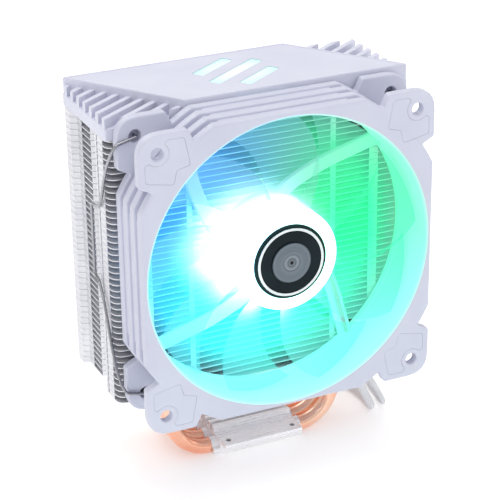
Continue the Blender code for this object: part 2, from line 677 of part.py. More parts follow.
# ---- fan motor ----
def stator_outline():
    outline = []
    neck_hub = math.asin(POLE_NECK_HALF / STATOR_HUB_RADIUS)
    neck_pole = math.asin(POLE_NECK_HALF / POLE_INNER_RADIUS)
    for i in range(POLE_COUNT):
        middle = i * math.tau / POLE_COUNT
        low, high = middle - POLE_HALF_ANGLE, middle + POLE_HALF_ANGLE
        outline.append(at_angle(STATOR_HUB_RADIUS, middle - neck_hub))
        outline += arc((0, 0), POLE_INNER_RADIUS, middle - neck_pole, low, 3)
        outline += arc((0, 0), POLE_RADIUS, low, high, 6)
        outline += arc((0, 0), POLE_INNER_RADIUS, high, middle + neck_pole, 3)
        outline.append(at_angle(STATOR_HUB_RADIUS, middle + neck_hub))
    return outline


def make_motor():
    place = fan_matrix()
    board_low = HUB_MOUNT_HIGH + GAP
    board_high = board_low + BOARD_THICKNESS
    green = material("motor_board_green", (0.05, 0.22, 0.10), 0.45)
    outlines = [circle((0, 0), MOTOR_BOARD_RADIUS, 32), circle((0, 0), SLEEVE_RADIUS + GAP, 16)]
    board = add_part("motor_board", plate_mesh("motor_board", outlines, board_low, board_high), green, place,
                     smooth=False)
    half = LED_SIZE / 2
    leds = []
    for i in range(HUB_LED_COUNT):
        leds.append(((HUB_LED_RADIUS - half, -half, board_high - GAP),
                     (HUB_LED_RADIUS + half, half, board_high + LED_HEIGHT),
                     math.tau * (i + 0.5) / HUB_LED_COUNT, (0.0, 0.0, 0.0)))
    combine(board, "UNION", add_cutter("hub_leds", boxes_mesh("hub_leds", leds), place))
    steel = material("bearing_steel", (0.55, 0.56, 0.58), 0.3, 1.0)
    turned_part("bearing_sleeve", ring_profile(SLEEVE_INNER_RADIUS, SLEEVE_RADIUS, board_low, SLEEVE_HIGH),
                steel, place, 16, True)
    outlines = [stator_outline(), circle((0, 0), SLEEVE_RADIUS + GAP, 16)]
    core = plate_mesh("stator_core", outlines, STATOR_LOW, STATOR_HIGH)
    add_part("stator_core", core, material("stator_steel", (0.35, 0.36, 0.38), 0.5, 1.0), place, smooth=False)
    winding = material("winding_copper", (0.75, 0.35, 0.18), 0.4, 1.0)
    low_r, high_r = STATOR_HUB_RADIUS + GAP, POLE_INNER_RADIUS - 3 * GAP
    for i in range(POLE_COUNT):
        turned = place @ Matrix.Rotation(i * math.tau / POLE_COUNT, 4, "Z")
        name = f"stator_coil_{i + 1}"
        coil = add_part(name, boxes_mesh(name, [((low_r, -COIL_HALF_WIDTH, COIL_LOW),
                                                 (high_r, COIL_HALF_WIDTH, COIL_HIGH))]),
                        winding, turned, smooth=False)
        inner = POLE_NECK_HALF + GAP
        core_hole = boxes_mesh(f"coil_hole_{i + 1}", [((low_r - OVERCUT, -inner, STATOR_LOW - GAP),
                                                       (high_r + OVERCUT, inner, STATOR_HIGH + GAP))])
        combine(coil, "DIFFERENCE", add_cutter(f"coil_hole_{i + 1}", core_hole, turned))
    label = material("label_silver", (0.70, 0.71, 0.74), 0.5)
    turned_part("rear_label", disc_profile(LABEL_RADIUS, LABEL_LOW, HUB_MOUNT_LOW - GAP), label, place, 32, False)


def make_motor_leads():
    """The motor's wires along the lower right strut, out to the duct wall."""
    height = STRUT_HIGH + GAP + MOTOR_LEAD_RADIUS
    points = [(point.x, point.y, height) for point in strut_course(math.radians(-45))[1:-1]]
    mesh = tube_mesh("motor_leads", points, MOTOR_LEAD_RADIUS)
    add_part("motor_leads", mesh, material("wire_grey", (0.45, 0.46, 0.50), 0.5), fan_matrix())


# ---- rotor ----
def blade_mesh():
    """One blade as a bent grid: s runs from root to tip, t along the chord."""
    bm = bmesh.new()
    bmesh.ops.create_grid(bm, x_segments=5, y_segments=4, size=0.5)
    for vert in bm.verts:
        s, t = vert.co.x + 0.5, vert.co.y
        radius = BLADE_ROOT_RADIUS + s * (BLADE_TIP_RADIUS - BLADE_ROOT_RADIUS)
        span = BLADE_ROOT_SPAN + s * (BLADE_TIP_SPAN - BLADE_ROOT_SPAN)
        height = BLADE_ROOT_HEIGHT + s * (BLADE_TIP_HEIGHT - BLADE_ROOT_HEIGHT)
        angle = t * span + BLADE_SWEEP * s * s
        bow = BLADE_CAMBER * math.cos(math.pi * t)
        vert.co = (radius * math.cos(angle), radius * math.sin(angle), BLADE_MID - t * height + bow)
    return bmesh_to_mesh(bm, "blade")


def blades_mesh():
    """All blades as closed solids in one mesh."""
    guide = bpy.data.objects.new("blade_guide", blade_mesh())
    bpy.context.scene.collection.objects.link(guide)
    solid = guide.modifiers.new("thickness", "SOLIDIFY")
    solid.thickness = BLADE_THICKNESS
    solid.offset = 0.0
    depsgraph = bpy.context.evaluated_depsgraph_get()
    blade = bpy.data.meshes.new_from_object(guide.evaluated_get(depsgraph))
    bpy.data.objects.remove(guide, do_unlink=True)
    bm = bmesh.new()
    for i in range(BLADE_COUNT):
        copy = blade.copy()
        copy.transform(Matrix.Rotation(math.tau * i / BLADE_COUNT, 4, "Z"))
        bm.from_mesh(copy)
    bmesh.ops.recalc_face_normals(bm, faces=bm.faces)
    return bmesh_to_mesh(bm, "blades")


def make_rotor():
    place = fan_matrix()
    frosted = material("rotor_frosted", (0.80, 0.92, 0.95), 0.5)
    profile = ((0.0, CUP_FRONT), (CUP_RADIUS - CUP_CHAMFER, CUP_FRONT), (CUP_RADIUS, CUP_FRONT - CUP_CHAMFER),
               (CUP_RADIUS, CUP_REAR), (CUP_INNER_RADIUS, CUP_REAR), (CUP_INNER_RADIUS, CUP_FRONT - CUP_WALL),
               (0.0, CUP_FRONT - CUP_WALL))
    impeller = turned_part("impeller", profile, frosted, place, 36, False)
    combine(impeller, "UNION", add_cutter("blades", blades_mesh(), place))
    steel = material("yoke_steel", (0.30, 0.31, 0.33), 0.45, 1.0)
    top = CUP_FRONT - CUP_WALL - GAP
    hole = SHAFT_RADIUS + GAP
    profile = ((hole, top), (YOKE_RADIUS, top), (YOKE_RADIUS, YOKE_LOW), (YOKE_INNER_RADIUS, YOKE_LOW),
               (YOKE_INNER_RADIUS, top - YOKE_WALL), (hole, top - YOKE_WALL))
    turned_part("rotor_yoke", profile, steel, place, 32, True)
    turned_part("rotor_magnet", ring_profile(MAGNET_INNER_RADIUS, MAGNET_RADIUS, MAGNET_LOW, MAGNET_HIGH),
                material("magnet_black", (0.04, 0.04, 0.045), 0.6), place, 32, True)
    turned_part("rotor_shaft", disc_profile(SHAFT_RADIUS, SHAFT_LOW, top),
                material("shaft_steel", (0.75, 0.76, 0.78), 0.2, 1.0), place, 12, False)
    back = CUP_FRONT + GAP
    turned_part("badge_plate", disc_profile(BADGE_RADIUS, back, back + BADGE_THICKNESS),
                material("badge_dark", (0.05, 0.06, 0.07), 0.25), place, 32, False)
    face = back + BADGE_THICKNESS + GAP
    turned_part("badge_ring", ring_profile(*BADGE_RING_RADII, face, face + BADGE_RING_THICKNESS),
                material("badge_silver", (0.80, 0.82, 0.84), 0.2, 1.0), place, 32, True)
    turned_part("badge_face", disc_profile(BADGE_FACE_RADIUS, face, face + BADGE_FACE_THICKNESS),
                material("badge_black", (0.02, 0.025, 0.03), 0.2), place, 32, False)
    cap = face + BADGE_FACE_THICKNESS + GAP
    turned_part("badge_cap", disc_profile(BADGE_CAP_RADIUS, cap, cap + BADGE_FACE_THICKNESS),
                material("badge_spun", (0.42, 0.45, 0.48), 0.3, 1.0), place, 24, False)


# ---- wire clips ----
def clip_route(side):
    """The wire from the upper hook, down the side with its handle, to the lower hook."""
    upper = [(x * side, y, FAN_CENTRE_Z + high) for x, y, high, low in CLIP_WIRE]
    lower = [(x * side, y, FAN_CENTRE_Z + low) for x, y, high, low in reversed(CLIP_WIRE)]
    return upper + lower


def make_clips():
    wire = material("clip_steel", (0.35, 0.36, 0.38), 0.3, 1.0)
    for name, side in (("clip_left", -1), ("clip_right", 1)):
        axis = Vector((side * HOLE_HALF, CLIP_AXIS_Y, FAN_CENTRE_Z))
        points = [Vector(p) - axis for p in clip_route(side)]
        add_part(name, tube_mesh(name, points, WIRE_RADIUS), wire, Matrix.Translation(axis))


# ---- leads ----
def make_lead(name, route, radius, coil, plug):
    """A lead: the tube to its coil, the coil's outer shape, the tail and the plug, all on the floor."""
    sleeve = material(name + "_sleeve", (0.80, 0.81, 0.83), 0.6)
    add_part(name, tube_mesh(name, smooth_route(route, ROUTE_STEPS), radius), sleeve)
    inner, outer = coil["radius"] - radius, coil["radius"] + radius
    height = 2 * radius * (coil["turns"] + 1)
    place = Matrix.Translation((*coil["centre"], 0.0))
    turned_part(name + "_coil", ring_profile(inner, outer, 0.0, height), sleeve, place, 32, True)
    long, wide, high = plug["size"]
    tail_start = -math.sqrt(outer ** 2 - inner ** 2) - 2 * GAP
    tail_end = -plug["reach"] + GAP
    tail = ((tail_start, coil["radius"], high / 2 + TAIL_RISE), (tail_end, coil["radius"], high / 2))
    add_part(name + "_tail", tube_mesh(name + "_tail", tail, radius), sleeve, place)
    mesh = boxes_mesh(name + "_plug", [((-plug["reach"] - long, coil["radius"] - wide / 2, 0.0),
                                        (-plug["reach"], coil["radius"] + wide / 2, high))])
    add_part(name + "_plug", mesh, material(name + "_plug_white", (0.85, 0.85, 0.86), 0.5), place,
             smooth=False)


def make_leads():
    make_lead("fan_lead", FAN_LEAD_ROUTE, FAN_LEAD_RADIUS, FAN_COIL, FAN_PLUG)
    make_lead("light_lead", LIGHT_LEAD_ROUTE, LIGHT_LEAD_RADIUS, LIGHT_COIL, LIGHT_PLUG)


def main():
    global parts, cutters
    clear_scene()
    parts = make_collection("cpu_tower_cooler")
    cutters = make_collection("cutters")
    make_base()
    make_pipes()
    make_fins()
    make_cover()
    make_top_light()
    make_frame()
    make_pads()
    make_motor()
    make_motor_leads()
    make_rotor()
    make_clips()
    make_leads()


main()
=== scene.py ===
"""Looks of a CPU tower cooler: finned tower on four heat pipes, lit 120 mm fan, ribbed top cover.

Metres, +Z up, the fan faces -Y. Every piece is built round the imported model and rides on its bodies.
"""
import math

import bmesh
import bpy
from mathutils import Matrix, Vector


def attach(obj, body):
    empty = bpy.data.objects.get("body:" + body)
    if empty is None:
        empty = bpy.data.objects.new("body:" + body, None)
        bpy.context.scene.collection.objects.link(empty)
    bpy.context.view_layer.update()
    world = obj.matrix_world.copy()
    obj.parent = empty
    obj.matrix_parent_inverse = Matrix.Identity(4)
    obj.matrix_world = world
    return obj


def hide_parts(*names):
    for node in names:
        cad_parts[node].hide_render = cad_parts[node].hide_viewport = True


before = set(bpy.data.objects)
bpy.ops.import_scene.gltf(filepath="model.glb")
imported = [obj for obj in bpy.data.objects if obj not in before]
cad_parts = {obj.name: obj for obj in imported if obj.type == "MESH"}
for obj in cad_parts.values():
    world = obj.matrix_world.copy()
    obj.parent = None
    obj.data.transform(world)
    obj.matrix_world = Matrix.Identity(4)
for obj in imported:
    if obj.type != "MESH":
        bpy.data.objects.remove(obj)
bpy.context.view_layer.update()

MERGE = 0.000004            # weld distance

# ---- camera ----
CAMERA_TARGET = Vector((-0.0173, -0.0485, 0.1039))
CAMERA_DISTANCE = 0.6587
CAMERA_YAW = math.radians(24.63)
CAMERA_PITCH = math.radians(24.1)
CAMERA_ROLL = math.radians(-0.81)
CAMERA_LENS = 128.8

# ---- base and heat pipes ----
BLOCK_HALF_Y = 0.0168
FLANGE_HALF_Y = 0.0222
FLANGE_BOTTOM_Z = 0.0050
LIP_HALF_X = 0.020
LIP_TOP_Z = 0.0032
CAP_HALF_X = 0.0173
FLANGE_TOP_Z = 0.0070
RIDGE_TOP_Z = 0.0100
RIDGE_PITCH = 0.0038
RIDGE_WIDTH = 0.0019
RIDGE_COUNT = 6
THREAD_X = 0.0143
THREAD_Y = 0.0185
THREAD_RADIUS = 0.0011
THREAD_PITCH = 0.0004
THREAD_TURNS = 4
LIP_INSET = 0.00005
PIPE_RADIUS = 0.0030
PIPE_AXIS_Z = 0.0027
PIPE_PITCH_Y = 0.0078
PIPE_COUNT = 4
PIPE_LEG_X = 0.036
PIPE_BEND_RADIUS = 0.016
PIPE_TOP_Z = 0.1484
PIPE_GAP = 0.0003

# ---- fin stack ----
FIN_BOTTOM_Z = 0.037
FIN_TOP_Z = 0.145
FIN_COUNT = 44
FIN_THICKNESS = 0.0004
FIN_HALF_X = 0.062
FIN_HALF_Y = 0.0228
WALL_THICKNESS = 0.0003
WALL_SEAM = 0.00012
WALL_SINK = 0.00005         # how far a folded wall reaches into its own fin
COLLAR_RADIUS = 0.0035

# ---- top cover ----
COVER_HALF_X = 0.0624
COVER_BOTTOM_Z = 0.1453
COVER_LIP_TOP_Z = 0.150
COVER_RIB_TOP_Z = 0.1538
COVER_PLATE_TOP_Z = 0.1562
COVER_TOP_Z = 0.1564
PLATE_SHORT_X = 0.031
COVER_RIB_COUNT = 10
COVER_RIB_WIDTH = 0.0023
COVER_RIB_LENGTH = 0.040
LIGHT_BAY_HALF_X = 0.029
BAY_HALF_Y = 0.017
LIGHT_BAY_TOP_Z = 0.1549
PIPE_BAY_HALF_X = 0.046
LIGHT_BARS = ((-0.0105, 0.022), (0.0, 0.032), (0.0105, 0.022))   # offset, length
LIGHT_BAR_WIDTH = 0.0052
DIFFUSER_HALF_X = 0.024
DIFFUSER_HALF_Y = 0.0155
DIFFUSER_BOTTOM_Z = 0.1536

# ---- fan: local +Z of a fan piece points forward, from the fan's back face ----
FAN_BACK_Y = -0.0235
FAN_CENTRE_Z = 0.095
FAN_DEPTH = 0.025
FAN_HALF = 0.06
SIDE_HALF = 0.05975
BODY_RADIUS = 0.0669
HOLE_HALF = 0.0525
HOLE_RADIUS = 0.00235
EAR_START = 0.0405
EAR_CORNER_RADIUS = 0.009
NOTCH_U = 0.038
NOTCH_V = 0.055
DUCT_RADIUS = 0.0577
FLANGE_THICKNESS = 0.004
FRAME_STEP = 0.007
CORE_INSET = 0.0005
CORE_HALF = 0.0589
CORE_RADIUS = 0.0642
STRUT_WIDTH = 0.0054
STRUT_COURSE = ((0.0150, 33.0), (0.0225, 22.3), (0.0300, 11.5), (0.0390, 2.7), (0.0480, -3.8),
                (0.0568, -8.0), (0.0600, -9.2))     # distance from the axis, degrees ahead of the corner
STRUT_LOW = 0.0006
STRUT_HIGH = 0.0032
HUB_MOUNT_RADIUS = 0.0208
HUB_MOUNT_LOW = 0.0008
HUB_MOUNT_HIGH = 0.0034
PAD_THICKNESS = 0.0008
PAD_NOTCH_RADIUS = 0.0045
PAD_GAP = 0.00007
GROMMET_X = (0.0318, 0.0400)
GROMMET_Z = (0.0395, 0.0432)
GROMMET_FIT = 0.0003        # room round the grommet in the frame's slot
SLOT_BOTTOM_Z = 0.033

# ---- rotor ----
CUP_RADIUS = 0.0203
CUP_INNER_RADIUS = 0.0190
CUP_FRONT = 0.0227
CUP_REAR = 0.0044
CUP_WALL = 0.0015
BLADE_COUNT = 9
BLADE_ROOT_RADIUS = 0.0197
BLADE_TIP_RADIUS = 0.0562
BLADE_THICKNESS = 0.0010
BLADE_MID = 0.0145
BLADE_ROOT_HEIGHT = 0.0125
BLADE_TIP_HEIGHT = 0.0092
BLADE_ROOT_SPAN = math.radians(34)
BLADE_TIP_SPAN = math.radians(31)
BLADE_SWEEP = math.radians(20)
BLADE_CAMBER = 0.0011
BADGE_BACK = 0.0230
BADGE_RADIUS = 0.015
BADGE_RING_RADII = (0.0126, 0.0137)
BADGE_FACE_RADIUS = 0.0123
BADGE_CAP_RADIUS = 0.008

# ---- wire clips: x, y, and the two heights over and under the fan's centre ----
WIRE_RADIUS = 0.0006
CLIP_WIRE = ((0.0525, -0.0254, 0.0525, -0.0525), (0.0525, -0.0284, 0.0525, -0.0525),
             (0.0606, -0.0284, 0.0505, -0.0505), (0.0622, -0.0278, 0.0475, -0.0475),
             (0.0629, -0.0240, 0.0412, -0.0412), (0.0629, -0.0201, 0.0339, -0.0330),
             (0.0629, -0.0173, 0.0267, -0.0250), (0.0629, -0.0142, 0.0222, -0.0172),
             (0.0629, -0.0097, 0.0208, -0.0100), (0.0629, -0.0055, 0.0205, -0.0090))

# ---- leads ----
FAN_LEAD = {
    "radius": 0.0017, "centre": (0.0260, 0.0590), "turn_radius": 0.0185, "turns": 1.25,
    "plug": (0.0135, 0.0106, 0.0062), "reach": 0.0190, "pins": 4,
    "route": ((0.0338, -0.0255, 0.0392), (0.0343, -0.0255, 0.0342), (0.0370, -0.0258, 0.0298),
              (0.0411, -0.0258, 0.0245), (0.0463, -0.0217, 0.0155), (0.0512, -0.0172, 0.0075),
              (0.0545, -0.0115, 0.0028), (0.0560, -0.0040, 0.0017), (0.0560, 0.0040, 0.0017),
              (0.0545, 0.0130, 0.0017), (0.0510, 0.0240, 0.0017), (0.0468, 0.0345, 0.0017),
              (0.0450, 0.0420, 0.0017), (0.0446, 0.0473, 0.0017))}
LIGHT_LEAD = {
    "radius": 0.0012, "centre": (0.0730, 0.0590), "turn_radius": 0.0132, "turns": 2.25,
    "plug": (0.0115, 0.0080, 0.0050), "reach": 0.0150, "pins": 3,
    "route": ((0.0380, -0.0255, 0.0392), (0.0385, -0.0255, 0.0342), (0.0420, -0.0258, 0.0292),
              (0.0465, -0.0258, 0.0240), (0.0519, -0.0217, 0.0160), (0.0570, -0.0172, 0.0080),
              (0.0607, -0.0110, 0.0028), (0.0628, -0.0030, 0.0012), (0.0643, 0.0060, 0.0012),
              (0.0672, 0.0160, 0.0012), (0.0728, 0.0270, 0.0012), (0.0800, 0.0365, 0.0012),
              (0.0848, 0.0445, 0.0012), (0.0861, 0.0505, 0.0012))}
CLIMB_START = 0.72          # share of a turn where the lead starts to climb onto the turn under it
CLIMB_END = 0.94
PIN_PITCH = 0.00254
PIN_DROP = -0.0002          # the pins' row under the connector's middle
ALONG_X = Matrix(((0, 0, 1, 0), (1, 0, 0, 0), (0, 1, 0, 0), (0, 0, 0, 1)))   # local Z laid along world X


# ---- materials ----
def add_node(tree, kind, inputs=None, **settings):
    """A node with its settings, and its inputs set to values or linked to other nodes' outputs."""
    node = tree.nodes.new(kind)
    for key, value in settings.items():
        setattr(node, key, value)
    for key, value in (inputs or {}).items():
        if isinstance(value, bpy.types.NodeSocket):
            tree.links.new(value, node.inputs[key])
        else:
            node.inputs[key].default_value = value
    return node


def new_material(name, **sockets):
    """A Principled material. Socket names are given with underscores."""
    material = bpy.data.materials.new(name)
    material.use_nodes = True
    shader = material.node_tree.nodes["Principled BSDF"]
    for key, value in sockets.items():
        shader.inputs[key.replace("_", " ").title().replace("Ior", "IOR")].default_value = value
    return material, material.node_tree, shader


def object_place(tree, stretch=(1.0, 1.0, 1.0)):
    place = add_node(tree, "ShaderNodeTexCoord").outputs["Object"]
    return add_node(tree, "ShaderNodeMapping", {"Vector": place, "Scale": stretch}).outputs["Vector"]


def noise(tree, scale, detail=3.0, stretch=(1.0, 1.0, 1.0)):
    inputs = {"Vector": object_place(tree, stretch), "Scale": scale, "Detail": detail}
    return add_node(tree, "ShaderNodeTexNoise", inputs).outputs["Fac"]


def ramp(tree, factor, stops):
    """A colour ramp from (position, colour) stops."""
    node = add_node(tree, "ShaderNodeValToRGB", {"Fac": factor})
    elements = node.color_ramp.elements
    elements[0].position, elements[1].position = stops[0][0], stops[-1][0]
    elements[0].color, elements[1].color = (*stops[0][1], 1.0), (*stops[-1][1], 1.0)
    for position, colour in stops[1:-1]:
        elements.new(position).color = (*colour, 1.0)
    return node.outputs["Color"]


def spread(tree, value, low, high, start=0.0, end=1.0):
    """The value's start-to-end range laid onto low-to-high."""
    inputs = {"Value": value, "From Min": start, "From Max": end, "To Min": low, "To Max": high}
    return add_node(tree, "ShaderNodeMapRange", inputs).outputs["Result"]


def calculate(tree, operation, first, second=0.0):
    return add_node(tree, "ShaderNodeMath", {0: first, 1: second}, operation=operation).outputs["Value"]


def add_bump(tree, shader, height, distance, strength=0.5):
    inputs = {"Height": height, "Distance": distance, "Strength": strength}
    tree.links.new(add_node(tree, "ShaderNodeBump", inputs).outputs["Normal"], shader.inputs["Normal"])


def mottled(name, dark, light, roughness, grain, grain_depth, stretch=(1.0, 1.0, 1.0), cloud=60.0, **sockets):
    """A finish with soft cloudy colour, uneven gloss and a fine surface grain."""
    material, tree, shader = new_material(name, **sockets)
    clouds = noise(tree, cloud, 4.0)
    tree.links.new(ramp(tree, clouds, ((0.3, dark), (0.7, light))), shader.inputs["Base Color"])
    fine = noise(tree, grain, 2.0, stretch)
    tree.links.new(spread(tree, fine, roughness - 0.06, roughness + 0.06, 0.3, 0.7), shader.inputs["Roughness"])
    add_bump(tree, shader, fine, grain_depth)
    return material


def polar(tree, u, v):
    """The distance of a point from the middle of its plane, and its direction from 0 to 1."""
    squares = calculate(tree, "ADD", calculate(tree, "MULTIPLY", u, u), calculate(tree, "MULTIPLY", v, v))
    flat = add_node(tree, "ShaderNodeCombineXYZ", {"X": u, "Y": v}).outputs["Vector"]
    direction = add_node(tree, "ShaderNodeTexGradient", {"Vector": flat}, gradient_type="RADIAL")
    return calculate(tree, "SQRT", squares), direction.outputs["Fac"]


def around_axis(tree):
    """How far a point is from the piece's own Z axis, and its direction round it from 0 to 1."""
    parts = add_node(tree, "ShaderNodeSeparateXYZ", {"Vector": object_place(tree)})
    return polar(tree, parts.outputs["X"], parts.outputs["Y"])


GLOW_ROUND = ((0.00, (0.14, 0.66, 1.00)), (0.12, (0.12, 0.90, 1.00)), (0.25, (0.16, 1.00, 0.90)),
              (0.38, (0.12, 1.00, 0.72)), (0.50, (0.03, 0.92, 0.44)), (0.60, (0.05, 0.86, 0.42)),
              (0.69, (0.16, 0.62, 0.46)), (0.78, (0.16, 0.48, 0.66)), (0.88, (0.16, 0.55, 0.98)),
              (1.00, (0.14, 0.66, 1.00)))
FAN_AXIS_PLACE = (0.0, 0.0, -FAN_CENTRE_Z)
WHITE = (1.0, 1.0, 1.0, 1.0)
HALO_WHITE = (0.9, 1.0, 1.0, 1.0)
HALO_START = 0.0100         # distances from the axis where the halo starts to fade and where it ends
HALO_END = 0.0250
HALO_LEFT = 0.016           # how much further it reaches to the left
HALO_STRENGTH = 1.6


def blend(tree, share, first, second):
    inputs = {"Factor": share, "A": first, "B": second}
    return add_node(tree, "ShaderNodeMix", inputs, data_type="RGBA").outputs["Result"]


def halo(tree, radius, direction):
    """The white of the hub's light, from 1 at the hub to 0, reaching furthest to the left."""
    left = calculate(tree, "POWER", calculate(tree, "ABSOLUTE", spread(tree, direction, -1.0, 1.0)), 1.5)
    reach = calculate(tree, "SUBTRACT", radius, calculate(tree, "MULTIPLY", left, HALO_LEFT))
    return calculate(tree, "POWER", spread(tree, reach, 1.0, 0.0, HALO_START, HALO_END), 1.8)


def paint_rotor_glow(tree, shader, where, tint, share, strength, near):
    """The rotor's light painted on a surface: its own colour tinted, and a painted glow that whitens near the
    hub.
    """
    base_colour = shader.inputs["Base Color"]
    own = base_colour.links[0].from_socket
    # Painted light: the surface's own colour is blended towards the rotor's tint.
    tree.links.new(blend(tree, calculate(tree, "MULTIPLY", where, share), own, tint), base_colour)
    # Painted glow: emission stands in for the rotor's light falling here, whiter near the hub.
    tree.links.new(blend(tree, near, tint, HALO_WHITE), shader.inputs["Emission Color"])
    glow = spread(tree, near, strength, HALO_STRENGTH)
    tree.links.new(calculate(tree, "MULTIPLY", where, glow), shader.inputs["Emission Strength"])


def rotor_material():
    """Clear blades with a tinted veil of light, milky and bright by the hub."""
    material, tree, shader = new_material("rotor_glow", roughness=0.35)
    radius, direction = around_axis(tree)
    tint = ramp(tree, direction, GLOW_ROUND)
    tree.links.new(blend(tree, 0.65, tint, (0.0, 0.0, 0.0, 1.0)), shader.inputs["Base Color"])
    near = halo(tree, radius, direction)
    tree.links.new(blend(tree, near, tint, HALO_WHITE), shader.inputs["Emission Color"])
    tree.links.new(spread(tree, near, 0.75, 2.6), shader.inputs["Emission Strength"])
    streaks = noise(tree, 260.0, 2.0)
    alpha = calculate(tree, "ADD", spread(tree, near, 0.26, 0.90), spread(tree, streaks, -0.02, 0.02))
    tree.links.new(alpha, shader.inputs["Alpha"])
    return material


def hub_material():
    """The lit cup of the rotor, brightest on its side."""
    material, tree, shader = new_material("hub_glow", roughness=0.3)
    tint = ramp(tree, around_axis(tree)[1], GLOW_ROUND)
    tree.links.new(blend(tree, 0.22, tint, WHITE), shader.inputs["Emission Color"])
    tree.links.new(spread(tree, noise(tree, 90.0), 4.0, 4.8), shader.inputs["Emission Strength"])
    return material


def frame_material():
    """Milky white plastic. The duct's wall has the rotor's light painted on it as tinted colour and glow."""
    material = mottled("fan_plastic", (0.555, 0.57, 0.685), (0.595, 0.61, 0.72), 0.42, 2600.0, 0.00002)
    tree = material.node_tree
    shader = tree.nodes["Principled BSDF"]
    radius, direction = around_axis(tree)
    tint = blend(tree, 0.22, ramp(tree, direction, GLOW_ROUND), WHITE)
    # Painted glow mask: only the duct's inner wall, inside the duct's radius, gets the rotor's painted light.
    where = spread(tree, radius, 1.0, 0.0, 0.0583, 0.0586)
    paint_rotor_glow(tree, shader, where, tint, 0.70, 0.36, halo(tree, radius, direction))
    return material


def fin_material():
    """Bright rolled sheet. The edges that face the fan have the rotor's light painted on them as tinted colour
    and glow.
    """
    material = mottled("fin_metal", (0.66, 0.66, 0.70), (0.78, 0.78, 0.82), 0.42, 900.0, 0.00001,
                       (1.0, 0.06, 1.0), metallic=0.55)
    tree = material.node_tree
    shader = tree.nodes["Principled BSDF"]
    place = add_node(tree, "ShaderNodeTexCoord").outputs["Object"]
    turned_place = add_node(tree, "ShaderNodeMapping", {"Vector": place, "Location": FAN_AXIS_PLACE})
    parts = add_node(tree, "ShaderNodeSeparateXYZ", {"Vector": turned_place.outputs["Vector"]})
    radius, direction = polar(tree, parts.outputs["X"], parts.outputs["Z"])
    # Painted glow mask: strongest near the fan's axis and at the fins' front, fading with depth behind the fan.
    inside = spread(tree, radius, 1.0, 0.0, 0.047, 0.0568)
    front = spread(tree, parts.outputs["Y"], 1.0, 0.0, -FIN_HALF_Y, 0.006)
    tint = ramp(tree, direction, GLOW_ROUND)
    where = calculate(tree, "MULTIPLY", inside, front)
    paint_rotor_glow(tree, shader, where, tint, 0.85, 0.30, halo(tree, radius, direction))
    return material


def braid_material(name, light, dark):
    """A braided sleeve: two sets of crossing strands, from the tube's own length and angle."""
    material, tree, shader = new_material(name, roughness=0.65)
    uv = add_node(tree, "ShaderNodeTexCoord").outputs["UV"]
    strands = []
    for turn in (math.radians(45), math.radians(-45)):
        place = add_node(tree, "ShaderNodeMapping", {"Vector": uv, "Rotation": (0.0, 0.0, turn)})
        wave = add_node(tree, "ShaderNodeTexWave", {"Vector": place.outputs["Vector"], "Scale": 2.2})
        strands.append(wave.outputs["Fac"])
    weave = calculate(tree, "MAXIMUM", *strands)
    tree.links.new(ramp(tree, weave, ((0.2, dark), (0.8, light))), shader.inputs["Base Color"])
    add_bump(tree, shader, weave, 0.0001, 0.6)
    return material


def copper_material():
    material, tree, shader = new_material("bright_copper", metallic=0.85, roughness=0.16)
    tone = noise(tree, 45.0, 5.0)
    colours = ((0.30, (0.94, 0.44, 0.29)), (0.50, (1.00, 0.54, 0.38)), (0.72, (1.00, 0.66, 0.50)))
    tree.links.new(ramp(tree, tone, colours), shader.inputs["Base Color"])
    marks = noise(tree, 700.0, 3.0, (1.0, 1.0, 0.08))
    tree.links.new(spread(tree, marks, 0.12, 0.26, 0.3, 0.7), shader.inputs["Roughness"])
    add_bump(tree, shader, marks, 0.00002)
    return material


def glow_panel_material():
    """The cover's light bars: bright in the middle of the panel, greener at its ends."""
    material, tree, shader = new_material("panel_glow", roughness=0.35)
    radius = around_axis(tree)[0]
    tint = ramp(tree, spread(tree, radius, 0.0, 1.0, 0.0, 0.018),
                ((0.0, (0.95, 1.0, 1.0)), (0.55, (0.72, 1.0, 0.93)), (1.0, (0.40, 0.92, 0.80))))
    shader.inputs["Base Color"].default_value = (0.25, 0.35, 0.33, 1.0)
    tree.links.new(tint, shader.inputs["Emission Color"])
    tree.links.new(spread(tree, noise(tree, 120.0), 0.74, 0.84), shader.inputs["Emission Strength"])
    return material


def spun_material():
    """The badge's spun centre: rings of light and dark metal round a small dark centre."""
    material, tree, shader = new_material("spun_metal", metallic=0.5, roughness=0.4, specular_ior_level=0.3)
    radius = around_axis(tree)[0]
    share = spread(tree, radius, 0.0, 1.0, 0.0, BADGE_CAP_RADIUS)
    rings = ((0.00, (0.005, 0.006, 0.008)), (0.08, (0.01, 0.012, 0.015)), (0.11, (0.19, 0.22, 0.25)),
             (0.20, (0.10, 0.12, 0.14)), (0.27, (0.21, 0.24, 0.27)), (0.36, (0.24, 0.27, 0.31)),
             (0.40, (0.12, 0.14, 0.17)), (0.48, (0.16, 0.19, 0.22)), (0.75, (0.13, 0.16, 0.19)),
             (0.93, (0.16, 0.19, 0.22)), (1.00, (0.05, 0.07, 0.09)))
    tree.links.new(ramp(tree, share, rings), shader.inputs["Base Color"])
    wave = add_node(tree, "ShaderNodeMath", {0: calculate(tree, "MULTIPLY", radius, 14000.0)}, operation="SINE")
    add_bump(tree, shader, wave.outputs["Value"], 0.00001, 0.4)
    return material


